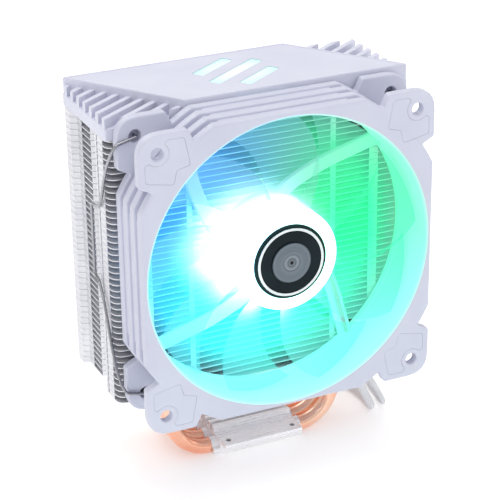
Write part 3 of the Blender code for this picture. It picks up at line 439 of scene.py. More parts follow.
def make_materials():
    """Every material by name."""
    return {
        "plastic": frame_material(),
        "cover": mottled("cover_plastic", (0.62, 0.63, 0.745), (0.66, 0.67, 0.78), 0.38, 2600.0, 0.00002),
        "pad": mottled("pad_rubber", (0.555, 0.575, 0.69), (0.60, 0.62, 0.73), 0.62, 3200.0, 0.00003),
        "fin": fin_material(),
        "collar": mottled("collar_metal", (0.60, 0.60, 0.63), (0.74, 0.74, 0.77), 0.34, 1500.0, 0.00001,
                          (1.0, 1.0, 0.1), metallic=1.0),
        "base": mottled("base_metal", (0.92, 0.92, 0.94), (0.99, 0.98, 1.00), 0.30, 1200.0, 0.000004,
                        (0.05, 1.0, 1.0), metallic=0.4),
        "thread": mottled("thread_metal", (0.20, 0.20, 0.22), (0.36, 0.36, 0.39), 0.35, 1500.0, 0.00001,
                          metallic=1.0),
        "copper": copper_material(),
        "steel": mottled("clip_wire", (0.28, 0.28, 0.30), (0.42, 0.42, 0.45), 0.26, 1800.0, 0.00001,
                         metallic=1.0),
        "rotor": rotor_material(),
        "hub": hub_material(),
        "panel": glow_panel_material(),
        "spun": spun_material(),
        "badge_edge": mottled("badge_edge", (0.003, 0.022, 0.024), (0.006, 0.04, 0.036), 0.22, 1500.0,
                              0.00001, specular_ior_level=0.15),
        "badge_face": mottled("badge_face", (0.004, 0.010, 0.014), (0.008, 0.018, 0.024), 0.16, 1500.0,
                              0.000005, specular_ior_level=0.12),
        "badge_ring": mottled("badge_ring", (0.62, 0.66, 0.68), (0.78, 0.80, 0.82), 0.18, 2000.0, 0.000005,
                              metallic=1.0),
        "sleeve": braid_material("lead_braid", (0.80, 0.81, 0.84), (0.50, 0.51, 0.55)),
        "plug": mottled("plug_nylon", (0.74, 0.74, 0.76), (0.80, 0.80, 0.82), 0.45, 1800.0, 0.00002),
        "contact": mottled("contact_metal", (0.45, 0.40, 0.30), (0.62, 0.55, 0.40), 0.3, 1500.0, 0.00001,
                           metallic=1.0),
        "tie": mottled("tie_nylon", (0.60, 0.60, 0.63), (0.68, 0.68, 0.71), 0.5, 1500.0, 0.00002),
        "grommet": mottled("grommet_rubber", (0.36, 0.37, 0.41), (0.44, 0.45, 0.50), 0.6, 2500.0, 0.00003),
        "board": mottled("board_laminate", (0.02, 0.14, 0.07), (0.04, 0.22, 0.11), 0.4, 1200.0, 0.00002),
        "iron": mottled("laminated_iron", (0.22, 0.22, 0.24), (0.34, 0.34, 0.36), 0.45, 1200.0, 0.00002,
                        (0.1, 0.1, 3.0), metallic=1.0),
        "winding": mottled("winding_wire", (0.50, 0.20, 0.09), (0.78, 0.38, 0.20), 0.35, 1400.0, 0.00006,
                           (0.2, 0.2, 2.0), metallic=1.0),
        "magnet": mottled("magnet_compound", (0.02, 0.02, 0.022), (0.045, 0.045, 0.05), 0.6, 1400.0, 0.00003),
        "label": mottled("label_foil", (0.60, 0.61, 0.64), (0.70, 0.71, 0.74), 0.4, 900.0, 0.00001),
        "wire": mottled("wire_jacket", (0.40, 0.41, 0.45), (0.50, 0.51, 0.55), 0.5, 1800.0, 0.00002),
        "floor": mottled("studio_floor", (0.96, 0.96, 0.96), WHITE[:3], 0.9, 400.0, 0.00002, cloud=3.0,
                         emission_color=WHITE, emission_strength=0.22),
    }


# ---- mesh work ----
def bake(bm, name):
    mesh = bpy.data.meshes.new(name)
    bm.to_mesh(mesh)
    bm.free()
    return mesh


def evaluated(obj):
    """The object's mesh with its modifiers applied. The object is removed."""
    depsgraph = bpy.context.evaluated_depsgraph_get()
    mesh = bpy.data.meshes.new_from_object(obj.evaluated_get(depsgraph))
    bpy.data.objects.remove(obj, do_unlink=True)
    return mesh


def loose_object(name, data):
    obj = bpy.data.objects.new(name, data)
    bpy.context.scene.collection.objects.link(obj)
    return obj


def joined(name, meshes):
    """One mesh of several closed shells."""
    bm = bmesh.new()
    for mesh in meshes:
        bm.from_mesh(mesh)
    return bake(bm, name)


def cut(mesh, *cutters):
    """The mesh less the cutters, by exact Booleans."""
    obj = loose_object("cut_body", mesh)
    tools = []
    for cutter in cutters:
        tool = loose_object("cut_tool", cutter)
        modifier = obj.modifiers.new("cut", "BOOLEAN")
        modifier.operation = "DIFFERENCE"
        modifier.solver = "EXACT"
        modifier.object = tool
        tools.append(tool)
    result = evaluated(obj)
    for tool in tools:
        bpy.data.objects.remove(tool, do_unlink=True)
    return result


def signed_area(outline):
    return sum(a[0] * b[1] - b[0] * a[1] for a, b in zip(outline, outline[1:] + outline[:1])) / 2


def plate(outer, low, high, edge=0.0, holes=(), edge_steps=2):
    """A flat plate from low to high with rounded edges, from outer outlines and the holes in them."""
    curve = bpy.data.curves.new("plate", "CURVE")
    curve.dimensions = "2D"
    curve.fill_mode = "BOTH"
    curve.extrude = (high - low) / 2 - edge
    curve.bevel_depth = edge
    curve.bevel_resolution = edge_steps - 1
    curve.offset = -edge
    for outlines, turn in ((outer, 1.0), (holes, -1.0)):
        for outline in outlines:
            points = list(outline)
            if signed_area(points) * turn > 0.0:
                points.reverse()
            spline = curve.splines.new("POLY")
            spline.points.add(len(points) - 1)
            for point, (u, v) in zip(spline.points, points):
                point.co = (u, v, 0.0, 1.0)
            spline.use_cyclic_u = True
    mesh = evaluated(loose_object("plate", curve))
    bm = bmesh.new()
    bm.from_mesh(mesh)
    bmesh.ops.remove_doubles(bm, verts=bm.verts, dist=MERGE)
    bmesh.ops.dissolve_degenerate(bm, edges=bm.edges, dist=MERGE)
    bmesh.ops.recalc_face_normals(bm, faces=bm.faces)
    bmesh.ops.translate(bm, verts=bm.verts, vec=(0.0, 0.0, (low + high) / 2))
    return bake(bm, "plate")


def arc(centre, radius, start, end, steps):
    angles = [start + (end - start) * i / steps for i in range(steps + 1)]
    return [(centre[0] + radius * math.cos(a), centre[1] + radius * math.sin(a)) for a in angles]


def circle(centre, radius, sides):
    return arc(centre, radius, 0.0, math.tau * (sides - 1) / sides, sides - 1)


def soft_outline(corners, steps=5):
    """A closed outline from (x, y, radius) corners, each rounded by a short curve."""
    outline = []
    for i, (x, y, radius) in enumerate(corners):
        here = Vector((x, y))
        before = Vector(corners[i - 1][:2]) - here
        after = Vector(corners[(i + 1) % len(corners)][:2]) - here
        if radius == 0.0:
            outline.append((x, y))
            continue
        half = before.angle(after) / 2
        reach = min(radius / math.tan(half), 0.49 * before.length, 0.49 * after.length)
        start = here + before.normalized() * reach
        end = here + after.normalized() * reach
        for step in range(steps + 1):
            t = step / steps
            outline.append(tuple(start * (1 - t) ** 2 + here * 2 * t * (1 - t) + end * t * t))
    return outline


def rectangle(half_x, half_y, radius, steps=4, centre=(0.0, 0.0)):
    x, y = centre
    return soft_outline([(x + half_x, y + half_y, radius), (x - half_x, y + half_y, radius),
                         (x - half_x, y - half_y, radius), (x + half_x, y - half_y, radius)], steps)


def moved(outline, matrix):
    """A 2D outline turned or shifted by a 4x4 matrix."""
    return [tuple((matrix @ Vector((u, v, 0.0))).to_2d()) for u, v in outline]


def transformed(mesh, matrix):
    mesh.transform(matrix)
    return mesh


def turned(profile, steps=64):
    """A closed profile in the XZ plane spun about Z. A point with x of 0 is on the axis."""
    bm = bmesh.new()
    verts = [bm.verts.new((x, 0.0, z)) for x, z in profile]
    edges = [bm.edges.new((a, b)) for a, b in zip(verts, verts[1:] + verts[:1])]
    bmesh.ops.spin(bm, geom=verts + edges, axis=(0, 0, 1), cent=(0, 0, 0), angle=math.tau, steps=steps,
                   use_merge=True)
    bmesh.ops.remove_doubles(bm, verts=bm.verts, dist=MERGE)
    bmesh.ops.dissolve_degenerate(bm, edges=bm.edges, dist=MERGE)
    wires = [edge for edge in bm.edges if not edge.link_faces]
    bmesh.ops.delete(bm, geom=wires, context="EDGES")
    bmesh.ops.recalc_face_normals(bm, faces=bm.faces)
    return bake(bm, "turned")


def rounded_profile(corners, steps=4):
    """A turned part's profile from (x, z, radius) corners."""
    return soft_outline(corners, steps)


def smooth_route(points, steps):
    """Points on a Catmull-Rom curve through the route's own points."""
    ends = [Vector(points[0]) * 2 - Vector(points[1])] + [Vector(p) for p in points]
    ends.append(ends[-1] * 2 - ends[-2])
    route = []
    for a, b, c, d in zip(ends, ends[1:], ends[2:], ends[3:]):
        for i in range(steps):
            t = i / steps
            route.append(0.5 * (2 * b + (c - a) * t + (2 * a - 5 * b + 4 * c - d) * t * t
                                + (3 * b - a - 3 * c + d) * t ** 3))
    return route + [Vector(points[-1])]


def bent_route(points, radius, steps=6):
    """Straight runs with a rounded bend at each inner point."""
    route = [Vector(points[0])]
    for before, here, after in zip(points, points[1:], points[2:]):
        here = Vector(here)
        back, ahead = Vector(before) - here, Vector(after) - here
        reach = min(radius, 0.48 * back.length, 0.48 * ahead.length)
        start, end = here + back.normalized() * reach, here + ahead.normalized() * reach
        for step in range(steps + 1):
            t = step / steps
            route.append(start * (1 - t) ** 2 + here * 2 * t * (1 - t) + end * t * t)
    return route + [Vector(points[-1])]


def tube(points, radius, sides=16, squash_floor=None, tip=0.0):
    """A round tube along a route, with UVs in radii along it and turns round it."""
    points = [Vector(p) for p in points]
    bm = bmesh.new()
    uv = bm.loops.layers.uv.new("UVMap")
    ahead = (points[1] - points[0]).normalized()
    across = ahead.orthogonal().normalized()
    rings, reach, lengths = [], 0.0, []
    for i, point in enumerate(points):
        onward = points[min(i + 1, len(points) - 1)] - points[max(i - 1, 0)]
        turn = ahead.rotation_difference(onward.normalized())
        ahead, across = onward.normalized(), (turn @ across).normalized()
        side = ahead.cross(across)
        reach += (point - points[i - 1]).length if i else 0.0
        lengths.append(reach / radius)
        angles = [math.tau * k / sides for k in range(sides)]
        spokes = [across * math.cos(a) + side * math.sin(a) for a in angles]
        rings.append([bm.verts.new(point + spoke * radius) for spoke in spokes])
    for i, (first, second) in enumerate(zip(rings, rings[1:])):
        for k in range(sides):
            face = bm.faces.new((first[k], first[(k + 1) % sides], second[(k + 1) % sides], second[k]))
            around = (k, k + 1, k + 1, k)
            along = (lengths[i], lengths[i], lengths[i + 1], lengths[i + 1])
            for loop, u, v in zip(face.loops, along, around):
                loop[uv].uv = (u, v * math.tau / sides)
    for ring, sign in ((rings[0], -1.0), (rings[-1], 1.0)):
        end = points[0] if sign < 0.0 else points[-1]
        onward = (points[0] - points[1]) if sign < 0.0 else (points[-1] - points[-2])
        tip_vert = bm.verts.new(end + onward.normalized() * tip)
        for k in range(sides):
            corner = (ring[(k + 1) % sides], ring[k], tip_vert)
            bm.faces.new(corner if sign < 0.0 else corner[::-1])
    if squash_floor is not None:
        for vert in bm.verts:
            vert.co.z = max(vert.co.z, squash_floor)
    bmesh.ops.recalc_face_normals(bm, faces=bm.faces)
    return bake(bm, "tube")


# ---- pieces ----
def add_piece(name, mesh, material, body, nodes=(), matrix=None, bevel=0.0, angle=38.0):
    """A visible piece: its shading, its body, the CAD nodes it stands for and its finish."""
    obj = loose_object(name, mesh)
    mesh.name = name
    mesh.materials.clear()
    mesh.materials.append(material)
    mesh.shade_smooth()
    mesh.set_sharp_from_angle(angle=math.radians(angle))
    obj.matrix_world = matrix or Matrix.Identity(4)
    if bevel:
        round_off = obj.modifiers.new("edges", "BEVEL")
        round_off.width = bevel
        round_off.segments = 2
        round_off.limit_method = "ANGLE"
        round_off.angle_limit = math.radians(40)
        round_off.harden_normals = True
    else:
        weighted = obj.modifiers.new("normals", "WEIGHTED_NORMAL")
        weighted.keep_sharp = True
    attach(obj, body)
    if nodes:
        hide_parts(*nodes)
    return obj


def finish_node(node, material):
    """A CAD node that stays, with a better material."""
    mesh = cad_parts[node].data
    mesh.materials.clear()
    mesh.materials.append(material)


def fan_matrix():
    """Fan pieces: local +Z forward (world -Y), local +Y up, local +X to the right seen from the front."""
    return Matrix.Translation((0.0, FAN_BACK_Y, FAN_CENTRE_Z)) @ Matrix.Rotation(math.pi / 2, 4, "X")


# ---- camera, light and floor ----
def make_camera():
    ahead = Vector((math.sin(CAMERA_YAW) * math.cos(CAMERA_PITCH),
                    math.cos(CAMERA_YAW) * math.cos(CAMERA_PITCH), -math.sin(CAMERA_PITCH)))
    level = Vector((math.cos(CAMERA_YAW), -math.sin(CAMERA_YAW), 0.0))
    upright = level.cross(ahead)
    right = level * math.cos(CAMERA_ROLL) + upright * math.sin(CAMERA_ROLL)
    up = upright * math.cos(CAMERA_ROLL) - level * math.sin(CAMERA_ROLL)
    data = bpy.data.cameras.new("camera")
    data.lens = CAMERA_LENS
    data.clip_start = 0.01
    data.clip_end = 20.0
    camera = loose_object("camera", data)
    place = Matrix((right, up, -ahead)).transposed().to_4x4()
    place.translation = CAMERA_TARGET - ahead * CAMERA_DISTANCE
    camera.matrix_world = place
    bpy.context.scene.camera = camera


def add_area_light(name, place, aim, size, power, colour=(1.0, 1.0, 1.0)):
    data = bpy.data.lights.new(name, "AREA")
    data.shape = "DISK"
    data.size = size
    data.energy = power
    data.color = colour
    light = loose_object(name, data)
    light.location = place
    light.rotation_euler = (Vector(aim) - Vector(place)).to_track_quat("-Z", "Y").to_euler()


def make_studio(materials):
    world = bpy.data.worlds.new("studio")
    world.use_nodes = True
    background = world.node_tree.nodes["Background"]
    background.inputs["Color"].default_value = WHITE
    background.inputs["Strength"].default_value = 0.72
    bpy.context.scene.world = world
    bpy.context.scene.view_settings.view_transform = "Standard"
    middle = (0.0, 0.0, 0.09)
    add_area_light("key", (-0.9, -1.1, 1.3), middle, 0.9, 5.0)
    add_area_light("side", (1.2, -0.5, 0.7), middle, 0.7, 2.0)
    add_area_light("back", (-0.2, 1.2, 1.1), middle, 0.8, 3.0)
    add_area_light("over", (0.0, 0.1, 1.6), middle, 1.0, 6.5)
    floor = loose_object("floor", plate([rectangle(3.0, 3.0, 0.5, 8)], -0.02, 0.0))
    floor.data.materials.append(materials["floor"])


# ---- leads ----
def coil_points(lead, steps=36):
    """The lead's turns: flat on the floor, then each new turn lies on the one before it."""
    centre_x, centre_y = lead["centre"]
    points = []
    for i in range(1, int(lead["turns"] * steps) + 1):
        done = i / steps
        layer = math.floor(done)
        climb = min(max((done - layer - CLIMB_START) / (CLIMB_END - CLIMB_START), 0.0), 1.0)
        height = lead["radius"] * (1 + 2 * (layer + climb * climb * (3 - 2 * climb)))
        angle = math.tau * done
        points.append(Vector((centre_x + lead["turn_radius"] * math.cos(angle),
                              centre_y + lead["turn_radius"] * math.sin(angle), height)))
    return points


def lead_points(lead):
    """The lead's whole way: down from the fan, over the floor, round its coil and off to its plug."""
    coil = coil_points(lead)
    start = Vector((lead["centre"][0] + lead["turn_radius"], lead["centre"][1], lead["radius"]))
    points = smooth_route([*lead["route"], start], 6) + coil
    last = coil[-1]
    plug_height = lead["plug"][2] / 2
    for i in range(1, 13):
        share = i / 12
        fall = min(max((share - 0.35) / 0.65, 0.0), 1.0)
        fall = fall * fall * (3 - 2 * fall)
        points.append(Vector((last.x - lead["reach"] * share, last.y, last.z + (plug_height - last.z) * fall)))
    return points


def pin_rows(lead):
    return [(i - (lead["pins"] - 1) / 2) * PIN_PITCH for i in range(lead["pins"])]


def plug_place(lead):
    """Where a connector stands: past the lead's end, on the floor, its length along X."""
    long, _, high = lead["plug"]
    x = -lead["reach"] - long + lead["centre"][0]
    return Matrix.Translation((x, lead["centre"][1] + lead["turn_radius"], high / 2)) @ ALONG_X


def plug_mesh(lead):
    """A connector: a nylon shell with one square well for each pin, two guide ribs and a narrower back."""
    long, wide, high = lead["plug"]
    half_y, half_z = wide / 2, high / 2 - 0.0005
    wells = [rectangle(0.0008, 0.0008, 0.0001, 2, (y, PIN_DROP)) for y in pin_rows(lead)]
    shell = [rectangle(half_y, half_z, 0.0006, 3, (0.0, -0.0005))]
    front = plate(shell, 0.0, long * 0.62, 0.0002, wells)
    back = plate([rectangle(half_y - 0.0005, half_z - 0.0005, 0.0006, 3, (0.0, -0.0005))],
                 long * 0.6, long, 0.0002)
    ribs = [plate([rectangle(0.0006, 0.0009, 0.0002, 2, (side * half_y * 0.55, half_z - 0.0004))],
                  0.0, long * 0.75, 0.0001) for side in (-1, 1)]
    return transformed(joined("plug", [front, back, *ribs]), plug_place(lead))


def contact_mesh(lead):
    """The metal contacts inside a connector's wells."""
    pins = []
    for y in pin_rows(lead):
        outer = rectangle(0.00055, 0.00055, 0.0001, 2, (y, PIN_DROP))
        inner = rectangle(0.00035, 0.00035, 0.00008, 2, (y, PIN_DROP))
        pins.append(plate([outer], 0.0012, lead["plug"][0] * 0.6, 0.00005, [inner]))
    return transformed(joined("contacts", pins), plug_place(lead))


def tie_mesh(lead, angle):
    """A strap round all the turns at one place of the coil, with its buckle on top."""
    radius = lead["radius"]
    layers = math.ceil(lead["turns"] - 0.25)
    top = radius * 2 * layers + 0.0006
    half = radius + 0.0006
    outer = rectangle(half, top / 2, 0.0007, 4, (0.0, top / 2))
    inner = rectangle(half - 0.0006, top / 2 - 0.0005, 0.0005, 4, (0.0, top / 2))
    band = plate([outer], -0.0015, 0.0015, 0.0001, [inner])
    buckle = plate([rectangle(0.0014, 0.0007, 0.0003, 3, (0.0, top))], -0.0019, 0.0019, 0.0002)
    stand = Matrix(((1, 0, 0, 0), (0, 0, -1, 0), (0, 1, 0, 0), (0, 0, 0, 1)))
    centre_x, centre_y = lead["centre"]
    place = (Matrix.Translation((centre_x, centre_y, 0.0)) @ Matrix.Rotation(angle, 4, "Z")
             @ Matrix.Translation((lead["turn_radius"], 0.0, 0.0)))
    return transformed(joined("tie", [band, buckle]), place @ stand)


def make_lead(name, lead, materials, tie_angle):
    points = lead_points(lead)
    nodes = (name, name + "_coil", name + "_tail")
    cord = add_piece(name + "_cord", tube(points, lead["radius"], 12), materials["sleeve"], "cooler",
                     nodes)
    plug = add_piece(name + "_connector", plug_mesh(lead), materials["plug"], "cooler",
                     (name + "_plug",))
    contacts = add_piece(name + "_contacts", contact_mesh(lead), materials["contact"], "cooler")
    tie = add_piece(name + "_tie", tie_mesh(lead, tie_angle), materials["tie"], "cooler")


def make_grommet(materials):
    """The soft block in the frame's lower side, with a short collar for each lead."""
    long = (GROMMET_X[1] - GROMMET_X[0]) / 2
    deep = FLANGE_THICKNESS / 2
    centre = ((GROMMET_X[0] + GROMMET_X[1]) / 2, FAN_BACK_Y - deep)
    block = plate([rectangle(long, deep, 0.0008, 4, centre)], GROMMET_Z[0], GROMMET_Z[1], 0.0003)
    shells = [block]
    for lead in (FAN_LEAD, LIGHT_LEAD):
        x, y = lead["route"][0][:2]
        inner, outer = lead["radius"] + 0.00005, lead["radius"] + 0.0005
        profile = rounded_profile(((inner, 0.0006, 0.0), (inner, -0.0018, 0.0),
                                   (outer - 0.0002, -0.0018, 0.0001), (outer, 0.0006, 0.0)))
        shells.append(transformed(turned(profile, 20), Matrix.Translation((x, y, GROMMET_Z[0]))))
    add_piece("grommet", joined("grommet", shells), materials["grommet"], "cooler",
              ("lead_grommet",))


# ---- base and heat pipes ----
def pipe_rows():
    return [(i - (PIPE_COUNT - 1) / 2) * PIPE_PITCH_Y for i in range(PIPE_COUNT)]


def pipe_places():
    return [(x, y) for x in (-PIPE_LEG_X, PIPE_LEG_X) for y in pipe_rows()]


def thread_places():
    return [(x, y) for x in (-THREAD_X, THREAD_X) for y in (-THREAD_Y, THREAD_Y)]


def channel_notches(radius, floor):
    """The lower edge of the base's section, left to right, with an arched channel for each pipe."""
    points = []
    for y in pipe_rows():
        half = math.asin(min((PIPE_AXIS_Z - floor) / radius, 1.0))
        points += arc((y, PIPE_AXIS_Z), radius, math.pi + half, -half, 16)
    return [(y, z, 0.0) for y, z in points]


def base_section(floor, half_y, radius, top_corners):
    section = [(-half_y, floor, 0.0)] + channel_notches(radius, floor) + [(half_y, floor, 0.0)]
    return soft_outline(section + top_corners, 3)


def cap_corners():
    """The cap's edge from right to left: an overhanging flange, six ridges and the other flange."""
    edge = (RIDGE_COUNT - 1) / 2 * RIDGE_PITCH + RIDGE_WIDTH / 2
    corners = [(BLOCK_HALF_Y, FLANGE_BOTTOM_Z, 0.0003), (FLANGE_HALF_Y, FLANGE_BOTTOM_Z, 0.0003),
               (FLANGE_HALF_Y, FLANGE_TOP_Z, 0.0004), (edge, FLANGE_TOP_Z, 0.0003)]
    for i in range(RIDGE_COUNT):
        middle = ((RIDGE_COUNT - 1) / 2 - i) * RIDGE_PITCH
        right, left = middle + RIDGE_WIDTH / 2, middle - RIDGE_WIDTH / 2
        corners += [(right, RIDGE_TOP_Z, 0.0003), (left, RIDGE_TOP_Z, 0.0003)]
        if i < RIDGE_COUNT - 1:
            next_edge = middle - RIDGE_PITCH + RIDGE_WIDTH / 2
            corners += [(left, FLANGE_TOP_Z, 0.0003), (next_edge, FLANGE_TOP_Z, 0.0003)]
    return corners + [(-edge, FLANGE_TOP_Z, 0.0003), (-FLANGE_HALF_Y, FLANGE_TOP_Z, 0.0004),
                      (-FLANGE_HALF_Y, FLANGE_BOTTOM_Z, 0.0003), (-BLOCK_HALF_Y, FLANGE_BOTTOM_Z, 0.0003)]


def make_base(materials):
    radius = PIPE_RADIUS + PIPE_GAP
    body = base_section(0.0, BLOCK_HALF_Y, radius, cap_corners())
    body = transformed(plate([body], -CAP_HALF_X, CAP_HALF_X, 0.0002), ALONG_X)
    lip_y = BLOCK_HALF_Y - LIP_INSET
    lip_top = [(lip_y, LIP_TOP_Z, 0.0003), (-lip_y, LIP_TOP_Z, 0.0003)]
    lip = base_section(LIP_INSET, lip_y, radius + LIP_INSET, lip_top)
    lips = [transformed(plate([lip], low, low + LIP_HALF_X - CAP_HALF_X + 0.001, 0.0002), ALONG_X)
            for low in (-LIP_HALF_X, CAP_HALF_X - 0.001)]
    drills = [plate([circle(place, THREAD_RADIUS, 24)], FLANGE_BOTTOM_Z - 0.001, RIDGE_TOP_Z)
              for place in thread_places()]
    body = cut(body, joined("drills", drills))
    add_piece("cold_plate", joined("cold_plate", [body, *lips]), materials["base"], "cooler",
              ("base_block",))
    add_piece("base_threads", joined("threads", thread_meshes()), materials["thread"], "cooler")


def thread_meshes():
    """Thread turns inside the four tapped holes."""
    low = FLANGE_BOTTOM_Z + 0.0002
    profile = [(THREAD_RADIUS + 0.0001, low)]
    for i in range(THREAD_TURNS):
        turn = low + i * THREAD_PITCH
        profile += [(THREAD_RADIUS - 0.00002, turn), (THREAD_RADIUS - 0.0002, turn + THREAD_PITCH / 2)]
    profile.append((THREAD_RADIUS + 0.0001, low + THREAD_TURNS * THREAD_PITCH))
    return [transformed(turned(profile, 24), Matrix.Translation((x, y, 0.0))) for x, y in thread_places()]


def pipe_route(y):
    bend_x = PIPE_LEG_X - PIPE_BEND_RADIUS
    bend_z = PIPE_AXIS_Z + PIPE_BEND_RADIUS
    right = arc((bend_x, bend_z), PIPE_BEND_RADIUS, -math.pi / 2, 0.0, 20)
    straight = [(bend_x * i / 6, PIPE_AXIS_Z) for i in range(1, 6)]
    upper = [(PIPE_LEG_X, bend_z + (PIPE_TOP_Z - bend_z) * i / 8) for i in range(1, 9)]
    half = straight + right + upper
    return [(-x, y, z) for x, z in reversed(half)] + [(0.0, y, PIPE_AXIS_Z)] + [(x, y, z) for x, z in half]


def make_pipes(materials):
    for number, y in enumerate(pipe_rows(), 1):
        mesh = tube(pipe_route(y), PIPE_RADIUS, 28, squash_floor=0.0)
        add_piece(f"copper_pipe_{number}", mesh, materials["copper"], "cooler",
                  (f"heat_pipe_{number}",))


# ---- fin stack ----
def mirrored(corners):
    """The corners of a right half, back to front, with the left half after them."""
    return corners + [(-x, y, radius) for x, y, radius in reversed(corners)]


def fin_outline():
    half = [(FIN_HALF_X, FIN_HALF_Y, 0.0008), (FIN_HALF_X, 0.0170, 0.0), (0.0594, 0.0157, 0.0),
            (0.0594, 0.0025, 0.0004), (0.0572, 0.0013, 0.0004), (0.0572, -0.0085, 0.0004),
            (FIN_HALF_X, -0.0097, 0.0), (FIN_HALF_X, -FIN_HALF_Y, 0.0042)]
    return soft_outline(mirrored(half), 6)


def band(points, thickness):
    """A thin wall's outline: the points, and the same points moved square to them by the thickness."""
    shifted = []
    for i, point in enumerate(points):
        here = Vector(point)
        before = (here - Vector(points[i - 1])).normalized() if i else None
        after = (Vector(points[i + 1]) - here).normalized() if i < len(points) - 1 else None
        before, after = before or after, after or before
        normal = Vector((-before.y - after.y, before.x + after.x)).normalized()
        reach = thickness / max(normal.dot(Vector((-after.y, after.x))), 0.5)
        shifted.append(tuple(here + normal * reach))
    return list(points) + shifted[::-1]


def fin_walls():
    """The edge walls folded up from each fin: outlines for the right side and their mirror images."""
    courses = [[(0.0594, 0.0114), (0.0594, 0.0157), (FIN_HALF_X, 0.0170), (FIN_HALF_X, 0.0222)],
               [(0.0572, -0.0080), (0.0572, 0.0010), (0.0592, 0.0024)],
               [(FIN_HALF_X, -0.0118), (FIN_HALF_X, -0.0099)], [(FIN_HALF_X, -0.0180), (FIN_HALF_X, -0.0128)]]
    for near, far in ((0.0292, 0.0314), (0.0462, 0.0500)):
        courses += [[(near, -FIN_HALF_Y), (far, -FIN_HALF_Y)], [(far, FIN_HALF_Y), (near, FIN_HALF_Y)]]
    right = [band(course, WALL_THICKNESS) for course in courses]
    return right + [[(-x, y) for x, y in outline] for outline in right]


def make_fins(materials):
    pitch = (FIN_TOP_Z - FIN_BOTTOM_Z - FIN_THICKNESS) / (FIN_COUNT - 1)
    holes = [circle(place, PIPE_RADIUS + PIPE_GAP, 20) for place in pipe_places()]
    fin = plate([fin_outline()], 0.0, FIN_THICKNESS, 0.0, holes)
    walls = plate(fin_walls(), FIN_THICKNESS - WALL_SINK, pitch - WALL_SEAM)
    bm = bmesh.new()
    for i in range(FIN_COUNT):
        meshes = [fin.copy()] if i == FIN_COUNT - 1 else [fin.copy(), walls.copy()]
        for mesh in meshes:
            bm.from_mesh(transformed(mesh, Matrix.Translation((0.0, 0.0, FIN_BOTTOM_Z + i * pitch))))
    add_piece("fins", bake(bm, "fins"), materials["fin"], "cooler", ("fin_stack",))
    add_piece("fin_collars", collar_mesh(pitch), materials["collar"], "cooler")


def collar_mesh(pitch):
    """The collars drawn up from the fins round each pipe, one on the next."""
    inner = PIPE_RADIUS + 0.00012
    meshes = []
    for i in range(FIN_COUNT - 1):
        low = FIN_BOTTOM_Z + FIN_THICKNESS + i * pitch
        high = low + pitch - FIN_THICKNESS - 0.0001
        profile = ((inner, high), (COLLAR_RADIUS - 0.0002, high), (COLLAR_RADIUS, low), (inner, low))
        ring = turned(profile, 14)
        meshes += [transformed(ring.copy(), Matrix.Translation((x, y, 0.0))) for x, y in pipe_places()]
    return joined("collars", meshes)


# ---- top cover and its light ----
def end_slope():
    """The slanted end of the cover's plate: start corner, direction and length."""
    start = Vector((-COVER_HALF_X, FIN_HALF_Y))
    end = Vector((-PLATE_SHORT_X, -FIN_HALF_Y))
    return start, (end - start).normalized(), (end - start).length


def clipped(outline, half_x, half_y):
    """The part of a convex outline inside a rectangle."""
    for axis, sign, limit in ((0, 1, half_x), (0, -1, half_x), (1, 1, half_y), (1, -1, half_y)):
        kept = []
        for a, b in zip(outline, outline[1:] + outline[:1]):
            a_in, b_in = a[axis] * sign <= limit, b[axis] * sign <= limit
            if a_in:
                kept.append(a)
            if a_in != b_in:
                share = (limit * sign - a[axis]) / (b[axis] - a[axis])
                kept.append(tuple(p + (q - p) * share for p, q in zip(a, b)))
        outline = kept
    return outline


def rib_outlines():
    """Ribs square to the plate's slanted ends, cut off at the cover's sides."""
    start, along, length = end_slope()
    outward = Vector((along.y, -along.x))
    pitch = length / COVER_RIB_COUNT
    outlines = []
    for turn in (1.0, -1.0):
        for i in range(COVER_RIB_COUNT):
            middle = (start + along * pitch * (i + 0.55)) * turn
            half = along * COVER_RIB_WIDTH / 2
            away = outward * COVER_RIB_LENGTH * turn
            inner = -outward * 0.001 * turn
            corners = [middle - half + inner, middle + half + inner, middle + half + away, middle - half + away]
            shape = clipped([tuple(c) for c in corners], COVER_HALF_X - 0.0001, FIN_HALF_Y - 0.0001)
            if len(shape) > 2 and abs(signed_area(shape)) > 0.000002:
                outlines.append(shape)
    return outlines


def plate_corners(inset):
    """The parallelogram of the cover's plate, drawn in by an inset."""
    slope = end_slope()[1]
    along_end = inset / abs(slope.y)
    half_y = FIN_HALF_Y - inset
    lean = slope.x / slope.y
    long_x = COVER_HALF_X - along_end + inset * lean
    short_x = PLATE_SHORT_X - along_end - inset * lean
    return [(-long_x, half_y), (-short_x, -half_y), (long_x, -half_y), (short_x, half_y)]


def plate_outline(inset, radius):
    return soft_outline([(x, y, radius) for x, y in plate_corners(inset)], 5)


def bar_outlines(grow):
    """The three parallel light bars, which run the way the ribs do."""
    across = end_slope()[1]
    turn = Matrix.Rotation(math.atan2(across.x, -across.y), 4, "Z")
    outlines = []
    for offset, length in LIGHT_BARS:
        bar = rectangle(length / 2 + grow, LIGHT_BAR_WIDTH / 2 + grow, 0.0006 + grow, 4)
        place = Matrix.Translation((across.x * offset, across.y * offset, 0.0)) @ turn
        outlines.append(moved(bar, place))
    return outlines


